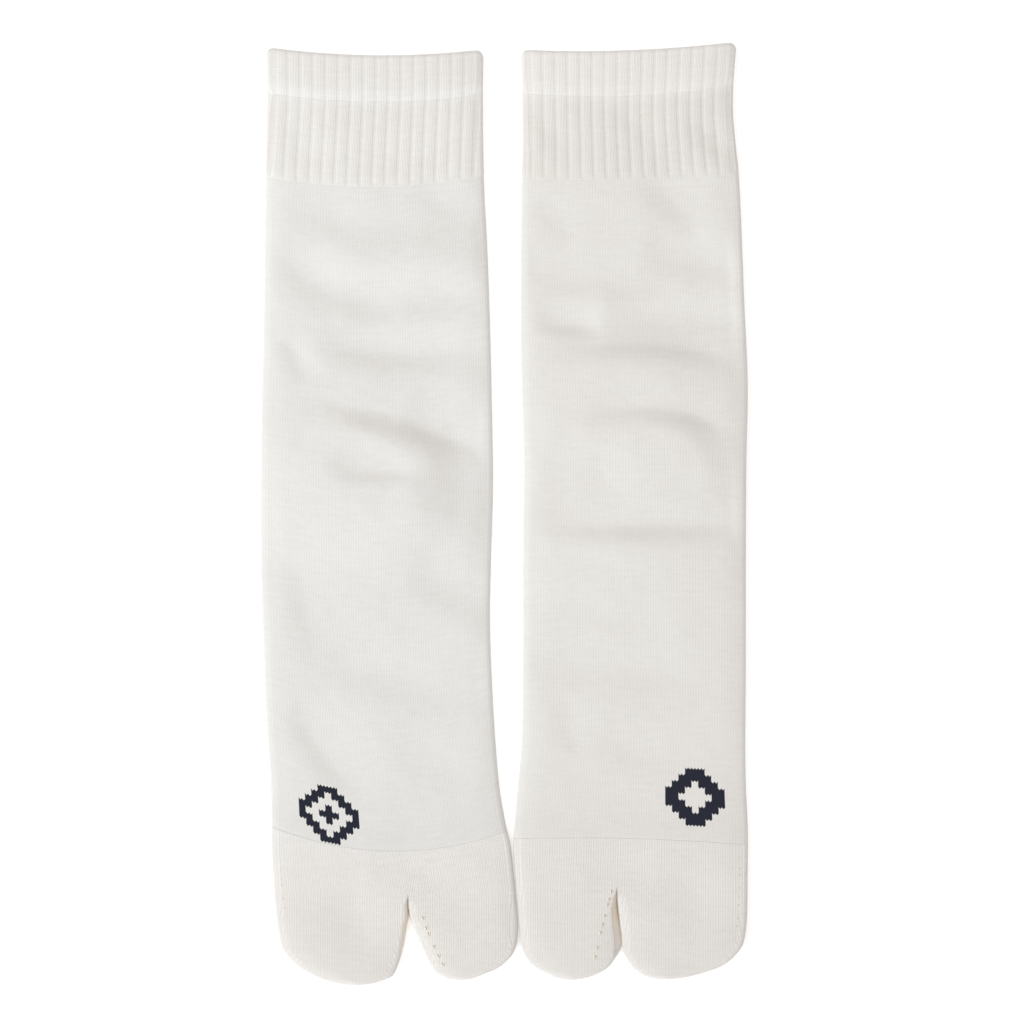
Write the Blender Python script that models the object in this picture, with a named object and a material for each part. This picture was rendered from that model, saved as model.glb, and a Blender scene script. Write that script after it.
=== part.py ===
"""A pair of tabi socks laid flat, side by side, with their insteps up.

The right sock is at -X and the left sock at +X. Cuffs point to +Y and toes to
-Y, and the socks rest on z = 0. Lengths are metres and angles are degrees.

Each sock is one flattened knitted tube in five pieces: a turned welt, a ribbed
cuff, a plain leg and foot, a heel pocket folded up flat underneath, and a
thick toe that is divided between the big toe and the other four.
"""

import math
from collections import namedtuple

import bmesh
import bpy

# --- Row types -------------------------------------------------------------

# Where the flat tube's two side folds are at a height up the sock.
Edge = namedtuple("Edge", "y left right")

# A knitted course seen from above: its y at the left fold, middle and right fold.
Course = namedtuple("Course", "left middle right")

# A soft trough in the upper panel: its middle, size, curve and turn.
Crease = namedtuple("Crease", "x y half_length half_width depth bow turn")

# The heel pocket: the middle of its lower fold, its half width and its reach up.
Pocket = namedtuple("Pocket", "x y half_width reach")

# One toe of the divided end: its side rows and its tip.
Lobe = namedtuple("Lobe", "rows tip_x tip_y flats")

Sock = namedtuple(
    "Sock",
    "name edges top_edge welt_end rib_end toe_start rib_lean creases pocket split_x split_y lobes",
)

# --- Driving sizes ---------------------------------------------------------

SEAM = 0.0003            # gap between two pieces at a seam
WELT_WALL = 0.0028       # rib knitted double
RIB_WALL = 0.0022
LEG_WALL = 0.0016
TOE_WALL = 0.0028        # pile knit

WELT_HEIGHT = 0.0072     # thickness of the flat tube at its side folds
RIB_HEIGHT = 0.0066
LEG_HEIGHT = 0.0064
TOE_START_HEIGHT = 0.0068
TOE_HEIGHT = 0.0080

WELT_SINK = 0.0004       # how much thinner the tube lies between its folds
RIB_SINK = 0.0006
LEG_SINK = 0.0007
TOE_SINK = 0.0003
SINK_WIDTH = 0.0100      # how far in from a fold the thinning spreads
LEAST_HOLLOW = 0.0005    # space kept between the two panels

RIBS_PER_FACE = 18
RIB_RAISE = 0.0006
WELT_RAISE = 0.00035
RIB_CREST_START = 0.28   # a rib's raised part, as shares of its pitch
RIB_CREST_END = 0.72

POCKET_THICKNESS = 0.0029    # two layers folded together
POCKET_LIFT = POCKET_THICKNESS + SEAM
POCKET_MARGIN = 0.0032       # how far out the back panel stays fully lifted
POCKET_RAMP = 0.0060         # how far it then takes to come down to the table
POCKET_LOWER_REACH = 0.0040  # reach below the lower fold
POCKET_POWER = 2.5           # squareness of the pocket's outline above that fold
POCKET_LOWER_POWER = 6.0     # and below it
POCKET_SIDES = 40

FOLD_STEPS = 4           # facets round a side fold
LEG_FLATS = 14           # facets across a panel of the leg
TIP_ROUNDING = 0.0044    # how far a toe's end takes to reach full thickness
LOBE_SHARES = (0.10, 0.30, 0.50, 0.66, 0.80, 0.90, 0.96, 0.992)
SPLIT_ROOF = 0.0030      # the toes part on top this far before they part halfway down

# --- The two socks ---------------------------------------------------------

RIGHT_EDGES = (
    Edge(0.1950, -0.0995, -0.0088),
    Edge(0.1724, -0.0995, -0.0090),
    Edge(0.1388, -0.1000, -0.0084),
    Edge(0.1136, -0.1008, -0.0071),
    Edge(0.0800, -0.1012, -0.0063),
    Edge(0.0464, -0.1021, -0.0055),
    Edge(0.0128, -0.1025, -0.0050),
    Edge(-0.0208, -0.1025, -0.0059),
    Edge(-0.0460, -0.1016, -0.0063),
    Edge(-0.0796, -0.1004, -0.0050),
    Edge(-0.1132, -0.0983, -0.0025),
    Edge(-0.1300, -0.0979, 0.0002),
    Edge(-0.1384, -0.0979, 0.0022),
    Edge(-0.1552, -0.0970, 0.0040),
    Edge(-0.1640, -0.0962, 0.0048),
)

LEFT_EDGES = (
    Edge(0.1980, 0.0073, 0.0971),
    Edge(0.1724, 0.0076, 0.0964),
    Edge(0.1556, 0.0076, 0.0970),
    Edge(0.1388, 0.0071, 0.0988),
    Edge(0.0884, 0.0067, 0.1006),
    Edge(0.0548, 0.0071, 0.1020),
    Edge(0.0212, 0.0080, 0.1014),
    Edge(-0.0124, 0.0076, 0.1012),
    Edge(-0.0628, 0.0076, 0.1012),
    Edge(-0.0964, 0.0071, 0.1010),
    Edge(-0.1132, 0.0057, 0.1012),
    Edge(-0.1300, 0.0044, 0.1020),
    Edge(-0.1384, 0.0038, 0.1021),
    Edge(-0.1552, 0.0046, 0.1019),
    Edge(-0.1640, 0.0054, 0.1019),
)

RIGHT_CREASES = (
    Crease(-0.0520, 0.1150, 0.0380, 0.0055, 0.0007, 0.0045, -4.5),
    Crease(-0.0580, 0.0860, 0.0290, 0.0055, 0.0008, 0.0050, -10.0),
    Crease(-0.0550, 0.0640, 0.0250, 0.0050, 0.0006, 0.0000, -4.0),
    Crease(-0.0500, 0.0400, 0.0360, 0.0055, 0.0011, -0.0080, -14.0),
    Crease(-0.0600, 0.0030, 0.0330, 0.0045, 0.0011, 0.0000, 0.0),
    Crease(-0.0220, 0.0060, 0.0240, 0.0050, 0.0009, 0.0000, -60.0),
    Crease(-0.0540, -0.0740, 0.0390, 0.0060, 0.0011, 0.0100, -8.0),
    Crease(-0.0700, -0.1060, 0.0300, 0.0060, 0.0008, 0.0000, -52.0),
)

LEFT_CREASES = (
    Crease(0.0680, 0.1250, 0.0170, 0.0050, 0.0006, 0.0000, -53.0),
    Crease(0.0500, 0.0955, 0.0390, 0.0055, 0.0008, 0.0000, 1.0),
    Crease(0.0560, 0.0690, 0.0340, 0.0060, 0.0011, -0.0030, 0.0),
    Crease(0.0600, 0.0470, 0.0300, 0.0055, 0.0012, -0.0180, 0.0),
    Crease(0.0510, -0.0130, 0.0420, 0.0045, 0.0013, 0.0000, 0.0),
    Crease(0.0430, -0.0730, 0.0320, 0.0060, 0.0007, 0.0000, 0.0),
)

RIGHT_FOUR_TOES = Lobe(
    rows=(
        Edge(-0.1632, -0.0963, -0.0412),
        Edge(-0.1720, -0.0953, -0.0414),
        Edge(-0.1804, -0.0937, -0.0427),
        Edge(-0.1854, -0.0911, -0.0439),
        Edge(-0.1905, -0.0857, -0.0450),
        Edge(-0.1938, -0.0798, -0.0470),
    ),
    tip_x=-0.0626,
    tip_y=-0.1976,
    flats=6,
)

RIGHT_BIG_TOE = Lobe(
    rows=(
        Edge(-0.1632, -0.0404, 0.0048),
        Edge(-0.1720, -0.0389, 0.0055),
        Edge(-0.1804, -0.0368, 0.0049),
        Edge(-0.1854, -0.0340, 0.0022),
        Edge(-0.1905, -0.0307, -0.0034),
        Edge(-0.1935, -0.0272, -0.0100),
    ),
    tip_x=-0.0190,
    tip_y=-0.1956,
    flats=5,
)

LEFT_BIG_TOE = Lobe(
    rows=(
        Edge(-0.1600, 0.0052, 0.0465),
        Edge(-0.1720, 0.0061, 0.0465),
        Edge(-0.1804, 0.0069, 0.0466),
        Edge(-0.1838, 0.0080, 0.0468),
        Edge(-0.1871, 0.0099, 0.0458),
        Edge(-0.1905, 0.0134, 0.0428),
        Edge(-0.1932, 0.0186, 0.0370),
    ),
    tip_x=0.0275,
    tip_y=-0.1954,
    flats=5,
)

LEFT_FOUR_TOES = Lobe(
    rows=(
        Edge(-0.1600, 0.0473, 0.1019),
        Edge(-0.1720, 0.0475, 0.1015),
        Edge(-0.1804, 0.0478, 0.1000),
        Edge(-0.1838, 0.0484, 0.0980),
        Edge(-0.1871, 0.0503, 0.0946),
        Edge(-0.1905, 0.0533, 0.0890),
        Edge(-0.1932, 0.0572, 0.0810),
    ),
    tip_x=0.0672,
    tip_y=-0.1954,
    flats=6,
)

SOCKS = (
    Sock(
        name="right",
        edges=RIGHT_EDGES,
        top_edge=Course(0.1942, 0.1920, 0.1938),
        welt_end=Course(0.1772, 0.1733, 0.1766),
        rib_end=Course(0.1418, 0.1376, 0.1422),
        toe_start=Course(-0.1310, -0.1413, -0.1330),
        rib_lean=0.0017,
        creases=RIGHT_CREASES,
        pocket=Pocket(x=-0.0570, y=0.0110, half_width=0.0340, reach=0.0260),
        split_x=-0.0408,
        split_y=-0.1622,
        lobes=(RIGHT_FOUR_TOES, RIGHT_BIG_TOE),
    ),
    Sock(
        name="left",
        edges=LEFT_EDGES,
        top_edge=Course(0.1938, 0.1938, 0.1976),
        welt_end=Course(0.1772, 0.1758, 0.1806),
        rib_end=Course(0.1414, 0.1407, 0.1430),
        toe_start=Course(-0.1362, -0.1360, -0.1388),
        rib_lean=0.0,
        creases=LEFT_CREASES,
        pocket=Pocket(x=0.0620, y=-0.0050, half_width=0.0290, reach=0.0460),
        split_x=0.0469,
        split_y=-0.1590,
        lobes=(LEFT_BIG_TOE, LEFT_FOUR_TOES),
    ),
)

# --- Numbers along and across a sock ---------------------------------------


def mix(start, end, share):
    """The value that lies a share of the way from start to end."""
    return start + (end - start) * share


def smooth_step(share):
    """0 to 1 with a soft start and end."""
    inside = min(max(share, 0.0), 1.0)
    return inside * inside * (3.0 - 2.0 * inside)


def read_rows(rows, y, column):
    """A column of a table at y, on a smooth curve through rows that run down in y."""
    last = len(rows) - 1
    y = min(max(y, rows[last].y), rows[0].y)
    index = 0
    while index < last - 1 and y < rows[index + 1].y:
        index += 1
    before = rows[max(index - 1, 0)]
    upper = rows[index]
    lower = rows[index + 1]
    after = rows[min(index + 2, last)]
    values = [getattr(row, column) for row in (before, upper, lower, after)]
    span = lower.y - upper.y
    slope_in = (values[2] - values[0]) / (lower.y - before.y) * span
    slope_out = (values[3] - values[1]) / (after.y - upper.y) * span
    share = (y - upper.y) / span
    squared = share * share
    cubed = squared * share
    return (
        values[1] * (2.0 * cubed - 3.0 * squared + 1.0)
        + slope_in * (cubed - 2.0 * squared + share)
        + values[2] * (3.0 * squared - 2.0 * cubed)
        + slope_out * (cubed - squared)
    )


def course_y(course, share):
    """y of a course at a share of the way from its left fold to its right fold."""
    bow = course.middle - (course.left + course.right) / 2.0
    return mix(course.left, course.right, share) + 4.0 * bow * share * (1.0 - share)


def between(upper, lower, share):
    """The course that lies a share of the way from one course down to another."""
    return Course(*(mix(a, b, share) for a, b in zip(upper, lower)))


def shifted(course, rise):
    """A course moved along +Y."""
    return Course(*(value + rise for value in course))


# --- Heights above the table -----------------------------------------------


def crease_depth(creases, x, y):
    """How far the upper panel dips at a point."""
    total = 0.0
    for crease in creases:
        turn = math.radians(crease.turn)
        along = (x - crease.x) * math.cos(turn) + (y - crease.y) * math.sin(turn)
        aside = (y - crease.y) * math.cos(turn) - (x - crease.x) * math.sin(turn)
        reach = along / crease.half_length
        if abs(reach) < 1.0:
            offset = (aside - crease.bow * reach * reach) / crease.half_width
            fade = (1.0 - reach * reach) ** 2
            total += crease.depth * fade * math.exp(-offset * offset)
    return total


def outside_pocket(pocket, x, y):
    """About how far a point is outside the pocket's outline, negative inside it.

    Above its lower fold the outline is part of a squarish ellipse. Below it,
    it is a strip with round ends.
    """
    if y < pocket.y:
        past_end = max(abs(x - pocket.x) - pocket.half_width + POCKET_LOWER_REACH, 0.0)
        return math.hypot(past_end, y - pocket.y) - POCKET_LOWER_REACH
    across = abs(x - pocket.x) / pocket.half_width
    along = (y - pocket.y) / pocket.reach
    level = (across**POCKET_POWER + along**POCKET_POWER) ** (1.0 / POCKET_POWER)
    if level < 0.5:
        return -POCKET_LOWER_REACH
    steep_x = (across / level) ** (POCKET_POWER - 1.0) / pocket.half_width
    steep_y = (along / level) ** (POCKET_POWER - 1.0) / pocket.reach
    return (level - 1.0) / math.hypot(steep_x, steep_y)


def back_lift(pocket, x, y):
    """How high the back panel is held off the table by the pocket under it."""
    distance = outside_pocket(pocket, x, y)
    return POCKET_LIFT * (1.0 - smooth_step((distance - POCKET_MARGIN) / POCKET_RAMP))


def panel_heights(sock, x, y, height, sink, wall, side_distance):
    """Underside and top of the flat tube at a point."""
    lift = back_lift(sock.pocket, x, y)
    thinning = sink * (1.0 - math.exp(-((side_distance / SINK_WIDTH) ** 2)))
    least = 2.0 * wall + LEAST_HOLLOW
    settled = height - thinning - lift * (height - least) / height
    thickness = max(settled - crease_depth(sock.creases, x, y), least)
    return lift, lift + thickness


# --- Rings -----------------------------------------------------------------


def oval_by_length(share, half_width, radius):
    """A point and outward direction on a flat-sided oval, by its length round.

    It starts at the far left and goes over the top. x is from the middle and
    z from the underside.
    """
    flat = 2.0 * (half_width - radius)
    quarter = math.pi * radius / 2.0
    run = (share % 1.0) * (2.0 * flat + 4.0 * quarter)
    if run < quarter:
        angle = math.pi - run / radius
    elif run < quarter + flat:
        return radius - half_width + run - quarter, 2.0 * radius, 0.0, 1.0
    elif run < 3.0 * quarter + flat:
        angle = math.pi / 2.0 - (run - quarter - flat) / radius
    elif run < 3.0 * quarter + 2.0 * flat:
        return half_width - radius - (run - 3.0 * quarter - flat), 0.0, 0.0, -1.0
    else:
        angle = 1.5 * math.pi - (run - 3.0 * quarter - 2.0 * flat) / radius
    middle = (half_width - radius) * (1.0 if math.cos(angle) > 0.0 else -1.0)
    x = middle + radius * math.cos(angle)
    z = radius + radius * math.sin(angle)
    return x, z, math.cos(angle), math.sin(angle)


def plain_oval(left, right, radius, stops):
    """A flat-sided oval's points, from the bottom of its left fold over the top.

    stops are the shares at which its two flat sides have their points.
    """
    points = []
    for step in range(FOLD_STEPS + 1):
        angle = math.pi * (1.5 - step / FOLD_STEPS)
        points.append((left + radius + radius * math.cos(angle), radius + radius * math.sin(angle)))
    for stop in stops:
        points.append((mix(left + radius, right - radius, stop), 2.0 * radius))
    for step in range(FOLD_STEPS + 1):
        angle = math.pi * (0.5 - step / FOLD_STEPS)
        points.append((right - radius + radius * math.cos(angle), radius + radius * math.sin(angle)))
    for stop in reversed(stops):
        points.append((mix(left + radius, right - radius, stop), 0.0))
    return points


def even_stops(flats):
    """The inner points of a side that is cut into equal facets."""
    return [step / flats for step in range(1, flats)]


def lay_point(sock, course, x, z, size):
    """Puts an oval's point on its course, between the panels' real heights.

    z runs from size.inset to size.height - size.inset.
    """
    left = read_rows(sock.edges, course.left, "left")
    right = read_rows(sock.edges, course.right, "right")
    y = course_y(course, (x - left) / (right - left))
    side_distance = min(x - left, right - x)
    low, high = panel_heights(sock, x, y, size.height, size.sink, size.wall, side_distance)
    share = (z - size.inset) / (size.height - 2.0 * size.inset)
    return x, y, mix(low + size.inset, high - size.inset, share)


# A ring's full thickness, thinning, wall, and how deep in the wall it lies.
Size = namedtuple("Size", "height sink wall inset")


def plain_ring(sock, course, size, flats):
    """A ring of the leg."""
    left = read_rows(sock.edges, course.left, "left") + size.inset
    right = read_rows(sock.edges, course.right, "right") - size.inset
    radius = size.height / 2.0 - size.inset
    oval = plain_oval(left, right, radius, even_stops(flats))
    return [lay_point(sock, course, x, z + size.inset, size) for x, z in oval]


def ribbed_ring(sock, course, size, raise_by, lean):
    """A ring of the cuff, with ribs raised on top and at the folds, plain under."""
    left = read_rows(sock.edges, course.left, "left")
    right = read_rows(sock.edges, course.right, "right")
    half_width = (right - left) / 2.0 - size.inset
    radius = size.height / 2.0 - size.inset
    round_length = 4.0 * (half_width - radius) + 2.0 * math.pi * radius
    points = []
    for share, crest in rib_stops(raise_by > 0.0):
        x, z, out_x, out_z = oval_by_length(share - lean / round_length, half_width, radius)
        bulge = raise_by * crest * smooth_step(z / size.height * 2.0)
        middle = (left + right) / 2.0
        laid = lay_point(sock, course, middle + x, z + size.inset, size)
        points.append((laid[0] + out_x * bulge, laid[1], laid[2] + out_z * bulge))
    return points


def rib_stops(raised):
    """Shares round the cuff of its points, and whether each is on a crest.

    A raised ring has three points on each rib of its upper half. Every other
    rib has one.
    """
    total = 2 * RIBS_PER_FACE
    stops = []
    for rib in range(total):
        stops.append((rib / total, 0.0))
        if raised and rib < RIBS_PER_FACE:
            stops.append(((rib + RIB_CREST_START) / total, 1.0))
            stops.append(((rib + RIB_CREST_END) / total, 1.0))
    return stops


# --- Meshes ----------------------------------------------------------------


def add_ring(mesh, points):
    """New vertices of one ring."""
    return [mesh.verts.new(point) for point in points]


def skin(mesh, rings):
    """Faces between rings of equal counts."""
    for first, second in zip(rings, rings[1:]):
        count = len(first)
        for index in range(count):
            after = (index + 1) % count
            mesh.faces.new((first[index], first[after], second[after], second[index]))


def zip_ribs(mesh, ribbed, plain):
    """Faces from a ring with raised ribs to one with a point on each rib."""
    outer_index = 0
    for rib in range(2 * RIBS_PER_FACE):
        steps = 3 if rib < RIBS_PER_FACE else 1
        corner = plain[rib]
        next_corner = plain[(rib + 1) % len(plain)]
        for step in range(steps):
            start = ribbed[outer_index % len(ribbed)]
            end = ribbed[(outer_index + 1) % len(ribbed)]
            mesh.faces.new((corner, start, end))
            outer_index += 1
        mesh.faces.new((corner, ribbed[outer_index % len(ribbed)], next_corner))


def finish(mesh, name, material):
    """Closes a mesh into a named object with its material."""
    bmesh.ops.recalc_face_normals(mesh, faces=mesh.faces)
    data = bpy.data.meshes.new(name)
    mesh.to_mesh(data)
    mesh.free()
    data.materials.append(material)
    data.shade_smooth()
    data.set_sharp_from_angle(angle=math.radians(50.0))
    piece = bpy.data.objects.new(name, data)
    bpy.context.scene.collection.objects.link(piece)
    return piece


# --- The pieces ------------------------------------------------------------


def make_welt(sock, material):
    """The turned top edge, rounded where the double rib folds over."""
    lowest = shifted(sock.welt_end, SEAM / 2.0)
    half = WELT_WALL / 2.0
    steps = (
        # depth in the wall, distance below the top edge
        (0.0, None),
        (0.0, half),
        (0.25 * WELT_WALL, 0.25 * half),
        (0.50 * WELT_WALL, 0.0),
    )
    mesh = bmesh.new()
    outer = []
    for inset, drop in steps:
        course = lowest if drop is None else shifted(sock.top_edge, -drop)
        size = Size(WELT_HEIGHT, WELT_SINK, WELT_WALL, inset)
        ease = 1.0 - inset / half
        ring = ribbed_ring(sock, course, size, WELT_RAISE * max(ease, 0.1), 0.0)
        outer.append(add_ring(mesh, ring))
    inner = []
    for inset, drop in ((0.85 * WELT_WALL, 0.5 * half), (WELT_WALL, 1.5 * half), (WELT_WALL, None)):
        course = lowest if drop is None else shifted(sock.top_edge, -drop)
        size = Size(WELT_HEIGHT, WELT_SINK, WELT_WALL, inset)
        inner.append(add_ring(mesh, ribbed_ring(sock, course, size, 0.0, 0.0)))
    skin(mesh, outer)
    skin(mesh, inner)
    zip_ribs(mesh, outer[-1], inner[0])
    zip_ribs(mesh, outer[0], inner[-1])
    return finish(mesh, f"{sock.name}_welt", material)


def make_rib(sock, material):
    """The ribbed cuff, a plain wall inside and ribs outside."""
    upper = shifted(sock.welt_end, -SEAM / 2.0)
    lower = shifted(sock.rib_end, SEAM / 2.0)
    mesh = bmesh.new()
    outer = []
    inner = []
    for share in (0.0, 0.5, 1.0):
        course = between(upper, lower, share)
        lean = sock.rib_lean * share
        outside = Size(RIB_HEIGHT, RIB_SINK, RIB_WALL, 0.0)
        inside = Size(RIB_HEIGHT, RIB_SINK, RIB_WALL, RIB_WALL)
        outer.append(add_ring(mesh, ribbed_ring(sock, course, outside, RIB_RAISE, lean)))
        inner.append(add_ring(mesh, ribbed_ring(sock, course, inside, 0.0, lean)))
    skin(mesh, outer)
    skin(mesh, inner)
    zip_ribs(mesh, outer[0], inner[0])
    zip_ribs(mesh, outer[-1], inner[-1])
    return finish(mesh, f"{sock.name}_rib", material)


def leg_shares():
    """Shares down the leg where its rings are, closest round the ankle."""
    stretches = (
        # start share, end share, rings in it
        (0.00, 0.24, 6),
        (0.24, 0.60, 18),
        (0.60, 1.00, 10),
    )
    shares = [0.0]
    for start, end, count in stretches:
        for step in range(1, count + 1):
            shares.append(mix(start, end, step / count))
    return shares


def make_leg(sock, material):
    """The plain leg and foot, with its creases and the rise over the heel pocket."""
    upper = shifted(sock.rib_end, -SEAM / 2.0)
    lower = shifted(sock.toe_start, SEAM / 2.0)
    mesh = bmesh.new()
    walls = []
    shares = leg_shares()
    for inset, wall_shares in ((0.0, shares), (LEG_WALL, shares[::2])):
        rings = []
        for share in wall_shares:
            course = between(upper, lower, share)
            size = Size(LEG_HEIGHT, LEG_SINK, LEG_WALL, inset)
            rings.append(add_ring(mesh, plain_ring(sock, course, size, LEG_FLATS)))
        skin(mesh, rings)
        walls.append(rings)
    skin(mesh, (walls[0][0], walls[1][0]))
    skin(mesh, (walls[0][-1], walls[1][-1]))
    return finish(mesh, f"{sock.name}_leg", material)


def make_heel(sock, material):
    """The heel pocket, two layers folded up flat under the ankle."""
    pocket = sock.pocket
    half = POCKET_THICKNESS / 2.0
    diagonal = math.cos(math.radians(45.0))
    profile = (
        # inset from the outline, height
        (half, 0.0),
        (half * (1.0 - diagonal), half * (1.0 - diagonal)),
        (0.0, half),
        (half * (1.0 - diagonal), half * (1.0 + diagonal)),
        (half, POCKET_THICKNESS),
    )
    mesh = bmesh.new()
    rings = []
    for inset, z in profile:
        ring = []
        for side in range(POCKET_SIDES):
            angle = math.tau * side / POCKET_SIDES
            upper = math.sin(angle) > 0.0
            reach = pocket.reach if upper else POCKET_LOWER_REACH
            power = 2.0 / (POCKET_POWER if upper else POCKET_LOWER_POWER)
            across = math.copysign(abs(math.cos(angle)) ** power, math.cos(angle))
            along = math.copysign(abs(math.sin(angle)) ** power, math.sin(angle))
            x = pocket.x + (pocket.half_width - inset) * across
            y = pocket.y + (reach - inset) * along
            ring.append(mesh.verts.new((x, y, z)))
        rings.append(ring)
    skin(mesh, rings)
    mesh.faces.new(rings[0])
    mesh.faces.new(rings[-1])
    return finish(mesh, f"{sock.name}_heel", material)


# --- The divided toe -------------------------------------------------------


def lobe_side(lobe, y, column):
    """A toe's side at y, closed past its last row by part of an ellipse."""
    last = lobe.rows[-1]
    if y >= last.y:
        return read_rows(lobe.rows, y, column)
    share = (last.y - y) / (last.y - lobe.tip_y)
    fullness = math.sqrt(max(1.0 - share * share, 0.0))
    middle = mix((last.left + last.right) / 2.0, lobe.tip_x, share)
    return middle + (getattr(last, column) - (last.left + last.right) / 2.0) * fullness


def toe_body_ring(sock, course, height, inset, flats):
    """A ring of the toe before it divides, with a point over the split."""
    left = read_rows(sock.edges, course.left, "left") + inset
    right = read_rows(sock.edges, course.right, "right") - inset
    radius = height / 2.0 - inset
    split = (sock.split_x - left - radius) / (right - left - 2.0 * radius)
    stops = [split * stop for stop in even_stops(flats[0])]
    stops.append(split)
    stops.extend(mix(split, 1.0, stop) for stop in even_stops(flats[1]))
    size = Size(height, TOE_SINK, TOE_WALL, inset)
    oval = plain_oval(left, right, radius, stops)
    return [lay_point(sock, course, x, z + inset, size) for x, z in oval]


def lobe_ring(lobe, start_y, share, inset):
    """A ring of one toe, a share of the way from the split to its tip."""
    y = mix(start_y, lobe.tip_y, share)
    left = lobe_side(lobe, y, "left")
    right = lobe_side(lobe, y, "right")
    from_tip = min((y - lobe.tip_y) / TIP_ROUNDING, 1.0)
    fullness = math.sqrt(max(1.0 - (1.0 - from_tip) ** 2, 0.0))
    full_height = TOE_HEIGHT - 2.0 * inset
    height = full_height * fullness
    half_width = (right - left) / 2.0
    widest = (lobe.rows[0].right - lobe.rows[0].left) / 2.0
    inner_half = half_width * (1.0 - inset / widest)
    middle = (left + right) / 2.0
    radius = min(height / 2.0, inner_half * 0.98)
    laid_y = mix(start_y, lobe.tip_y + inset, share)
    low = inset + (full_height - 2.0 * radius) / 2.0
    oval = plain_oval(middle - inner_half, middle + inner_half, radius, even_stops(lobe.flats))
    return [(x, laid_y, low + z) for x, z in oval]


def split_post(sock, y, top, bottom):
    """The points of the saddle between the two toes, from top to bottom."""
    points = []
    for step in range(1, FOLD_STEPS):
        angle = math.pi * step / FOLD_STEPS
        z = mix((top + bottom) / 2.0, top, math.cos(angle))
        points.append((sock.split_x, y + SPLIT_ROOF * (1.0 - math.sin(angle)), z))
    return points


def toe_surface(mesh, sock, inset):
    """One wall surface of the toe, outer or inner. Gives its open end's ring."""
    flats = (sock.lobes[0].flats, sock.lobes[1].flats)
    split_y = sock.split_y + inset
    top_course = shifted(sock.toe_start, -SEAM / 2.0)
    bottom_course = Course(*(3 * [split_y + SPLIT_ROOF]))
    rings = []
    for share in (0.0, 0.3, 0.65, 1.0):
        height = mix(TOE_START_HEIGHT, TOE_HEIGHT, smooth_step(share * 1.4))
        course = between(top_course, bottom_course, share)
        rings.append(add_ring(mesh, toe_body_ring(sock, course, height, inset, flats)))
    skin(mesh, rings)

    ring = rings[-1]
    left_top = FOLD_STEPS
    split_top = left_top + flats[0]
    right_top = split_top + flats[1]
    right_bottom = right_top + FOLD_STEPS
    split_bottom = right_bottom + flats[1]
    roof = ring[split_top]
    floor = ring[split_bottom]
    post = add_ring(mesh, split_post(sock, split_y, roof.co.z, floor.co.z))
    first = ring[: split_top + 1] + post + ring[split_bottom:]
    second = list(reversed(post)) + ring[split_top : split_bottom + 1]
    second = [floor] + second[:-1]
    for lobe, start in zip(sock.lobes, (first, second)):
        rows = [start]
        for share in LOBE_SHARES:
            rows.append(add_ring(mesh, lobe_ring(lobe, split_y, share, inset)))
        skin(mesh, rows)
        tip = mesh.verts.new((lobe.tip_x, lobe.tip_y + inset, TOE_HEIGHT / 2.0))
        last = rows[-1]
        for index, vertex in enumerate(last):
            mesh.faces.new((vertex, last[(index + 1) % len(last)], tip))
    return rings[0]


def make_toe(sock, material):
    """The divided toe, one thick wall round two pockets."""
    mesh = bmesh.new()
    outer = toe_surface(mesh, sock, 0.0)
    inner = toe_surface(mesh, sock, TOE_WALL)
    skin(mesh, (outer, inner))
    return finish(mesh, f"{sock.name}_toe", material)


# --- Materials and the whole pair ------------------------------------------


def make_material(name, colour, roughness):
    """A plain cloth finish."""
    material = bpy.data.materials.new(name)
    material.use_nodes = True
    shader = material.node_tree.nodes["Principled BSDF"]
    shader.inputs["Base Color"].default_value = (*colour, 1.0)
    shader.inputs["Roughness"].default_value = roughness
    shader.inputs["Metallic"].default_value = 0.0
    return material


def main():
    """Clears the scene and makes both socks."""
    for item in list(bpy.data.objects):
        bpy.data.objects.remove(item)
    rib_knit = make_material("rib_knit", (0.78, 0.76, 0.73), 0.92)
    plain_knit = make_material("plain_knit", (0.79, 0.77, 0.74), 0.90)
    pile_knit = make_material("pile_knit", (0.76, 0.73, 0.69), 0.95)
    for sock in SOCKS:
        make_welt(sock, rib_knit)
        make_rib(sock, rib_knit)
        make_leg(sock, plain_knit)
        make_heel(sock, plain_knit)
        make_toe(sock, pile_knit)


main()
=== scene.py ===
# %% [markdown]
# # A pair of split-toe socks
#
# Two thick white knitted socks lie flat on a table with their insteps up. Each
# is one tube: a turned welt, a ribbed cuff, a plain leg and foot, a heel pocket
# folded up underneath, and a pile toe divided in two. Each solid in the frame is
# replaced by a thin closed shell with more rings, so that creases and edges turn
# softly. A UV map counts the stitches, so the knit runs as real wales and courses do.

# %% Load the frame
from collections import namedtuple
from math import atan2, copysign, cos, exp, hypot, pi, radians, sin, sqrt, tau

import bmesh
import bpy
from mathutils import Matrix, Vector, noise
from mathutils.bvhtree import BVHTree


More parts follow.
